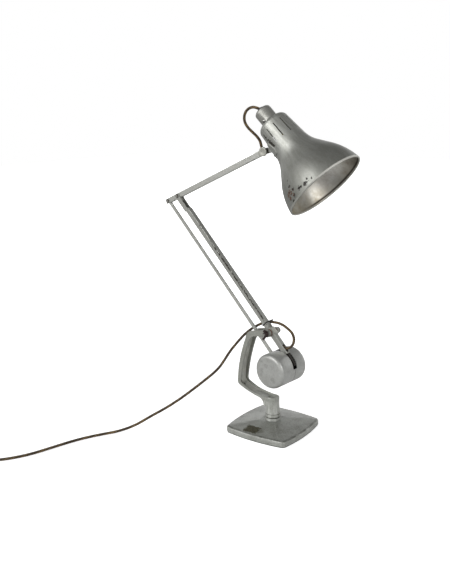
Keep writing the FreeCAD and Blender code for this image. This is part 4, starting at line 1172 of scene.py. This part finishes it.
def bake_nodes(piece, tree, values):
    """Runs a Geometry Nodes tree on a piece and keeps the result as its plain mesh."""
    modifier = piece.modifiers.new(tree.name, "NODES")
    modifier.node_group = tree
    for item in tree.interface.items_tree:
        if item.in_out == "INPUT" and item.name in values:
            modifier[item.identifier] = values[item.name]
    graph = bpy.context.evaluated_depsgraph_get()
    graph.update()
    mesh = bpy.data.meshes.new_from_object(piece.evaluated_get(graph))
    piece.modifiers.remove(modifier)
    piece.data = mesh


bake_nodes(shade_piece, vent_tree(), {
    "Width": VENT_WIDTH * MM, "Length": VENT_LENGTH * MM, "Depth": VENT_DEPTH * MM,
    "Ring": VENT_RING * MM, "Count": VENTS, "Material": finishes["shade_paint"]})
print("shade with vents:", len(shade_piece.data.polygons), "faces")

# %% Paint the two sides of the wall
OUTSIDE, INSIDE, RIM = range(3)
# How far a face has to look inwards or down, and how many beads wide the rim's finish is.
INWARDS, DOWNWARDS, RIM_BEADS = -0.02, -0.5, 2.2


def paint_inside(piece):
    """Gives the bead its finish, and the inside one to the faces that look towards the
    shade's axis or down from under its shoulder."""
    piece.data.materials.clear()
    for name in ("shade_paint", "shade_inside", "rim_paint"):
        piece.data.materials.append(finishes[name])
    for face in piece.data.polygons:
        offset = face.center - MOUTH
        height = offset.dot(SHADE_AXIS)
        spoke = offset - SHADE_AXIS * height
        high, wide = height / MM, spoke.length / MM
        inward = face.normal.dot(spoke) < INWARDS * spoke.length
        under = high > SHADE_LENGTH - 2 * WALL and face.normal.dot(SHADE_AXIS) < DOWNWARDS
        rim = high < BEAD_LIFT + BEAD and wide > MOUTH_RADIUS - RIM_BEADS * BEAD
        side = INSIDE if inward or under else OUTSIDE
        face.material_index = RIM if rim else side


smooth(shade_piece.data, TURNED_SHARP)
paint_inside(shade_piece)
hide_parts("shade")
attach(shade_piece, "shade")
print("inside faces:", sum(f.material_index == INSIDE for f in shade_piece.data.polygons))

# %% [markdown]
# ## The tilt screw
# The head tilts on a screw with a broad, slightly dished head that a hand can turn. It is
# a turned part, so the lathe makes it as well, about the tilt joint's own axis.

# %% Turn the tilt screw
SCREW_PROFILE = [(0, -10.7), (5.4, -10.7), (6.6, -11.2), (9.0, -11.0, QUARTER), (10.2, -9.8),
                 (10.2, -7.2, QUARTER), (9.2, -6.15), (2.5, -6.15), (2.5, 10.4), (0, 10.4)]
SCREW_ARC, SCREW_SEGMENTS = 6, 48
SCREW_PLACE = standing_on(KNUCKLE, tilt_axis.orthogonal().normalized(), tilt_axis)
screw_piece = lathe("tilt_screw_head", profile(SCREW_PROFILE, SCREW_ARC), SCREW_PLACE,
                    SCREW_SEGMENTS)
screw_piece.data.materials.append(finishes["knuckle_paint"])
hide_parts("tilt_screw")
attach(screw_piece, "shade")
print("screw faces:", len(screw_piece.data.polygons))

# %% [markdown]
# ## Stage and light
# A plain pale floor and a white background. Silvered paint shows what stands round it, so
# the surroundings matter as much as the lamps: bright low down and in front, as from a
# white table and walls, dim overhead, and bright once more straight behind, which the
# round pieces catch along their edges. Three large soft lamps are far off, so that each
# piece catches them at the same angle: a strong one at the front left, a weaker one at
# the right and a faint one behind.

# %% Floor
FLOOR_HALF, FLOOR_DROP, FLOOR_GLOW, FLOOR_SHOWN = 8.0, 0.0002, 0.04, 0.55
TABLE_REACH, BEYOND = (0.5, 1.6), (0.40, 0.40, 0.40, 1)


def add_floor():
    mesh = bpy.data.meshes.new("floor")
    half = FLOOR_HALF
    mesh.from_pydata([(-half, -half, 0), (half, -half, 0), (half, half, 0), (-half, half, 0)],
                     [], [(0, 1, 2, 3)])
    floor = new_object("floor", mesh)
    nodes, shader, where = new_material("floor_card")
    tone = nodes.blend(nodes.noise(where, 3.0, 2.0), (0.90, 0.90, 0.90, 1),
                       (0.93, 0.93, 0.93, 1))
    beyond = nodes.ramp(nodes.length(where), *TABLE_REACH)
    seen = nodes.add("ShaderNodeLightPath").outputs["Is Camera Ray"]
    shown = nodes.times(seen, nodes.plus(beyond, FLOOR_SHOWN))
    nodes.feed(shader, {"Base Color": nodes.blend(beyond, tone, BEYOND), "Roughness": 0.9,
                        "Emission Color": (1, 1, 1, 1),
                        "Emission Strength": nodes.plus(FLOOR_GLOW, shown)})
    floor.data.materials.append(finishes["floor_card"])
    floor.location.z = -FLOOR_DROP
    return floor


print("floor:", add_floor().name)

# %% Surroundings and lamps
DIM, BRIGHT = 0.24, 0.70
FRONT, FRONT_GAIN = Vector((-0.15, -0.95, 0.25)).normalized(), 0.22
BACK, BACK_GAIN = Vector((-0.66, 0.75, 0.05)).normalized(), 0.55
# Direction towards each lamp, its angle in degrees and its strength.
LAMPS = {"key": ((-0.31, -0.86, 0.41), 42.0, 1.7), "fill": ((0.80, -0.42, 0.42), 28.0, 1.05),
         "back": ((0.20, 0.94, 0.22), 50.0, 0.45)}


def add_lamp(name, direction, angle, strength):
    light = bpy.data.lights.new(name, "SUN")
    light.energy, light.angle = strength, math.radians(angle)
    holder = new_object(name, light)
    holder.rotation_euler = (-Vector(direction)).to_track_quat("-Z", "Y").to_euler()


def add_world():
    """Surroundings that are bright low, in front and behind, and a white background."""
    world = bpy.data.worlds.new("studio")
    world.use_nodes = True
    nodes = Nodes(world.node_tree)
    direction = nodes.add("ShaderNodeTexCoord").outputs["Generated"]
    ahead = nodes.vector("DOT_PRODUCT", direction, FRONT, "Value")
    behind = nodes.vector("DOT_PRODUCT", direction, BACK, "Value")
    glow = nodes.plus(nodes.ramp(nodes.xyz(direction)[2], 0.62, 0.05, DIM, BRIGHT),
                      nodes.plus(nodes.ramp(ahead, 0.1, 1.0, 0.0, FRONT_GAIN),
                                 nodes.ramp(behind, 0.75, 1.0, 0.0, BACK_GAIN)))
    soft = world.node_tree.nodes["Background"]
    nodes.feed(soft, {"Color": (1, 1, 1, 1), "Strength": glow})
    white = nodes.add("ShaderNodeBackground", {"Color": (1, 1, 1, 1), "Strength": 1.0})
    seen = nodes.add("ShaderNodeLightPath").outputs["Is Camera Ray"]
    mixed = nodes.add("ShaderNodeMixShader", {0: seen, 1: soft.outputs[0],
                                              2: white.outputs[0]})
    nodes.feed(world.node_tree.nodes["World Output"], {"Surface": mixed.outputs[0]})
    bpy.context.scene.world = world


add_world()
for name, values in LAMPS.items():
    add_lamp(name, *values)
bpy.context.scene.view_settings.view_transform = "Standard"
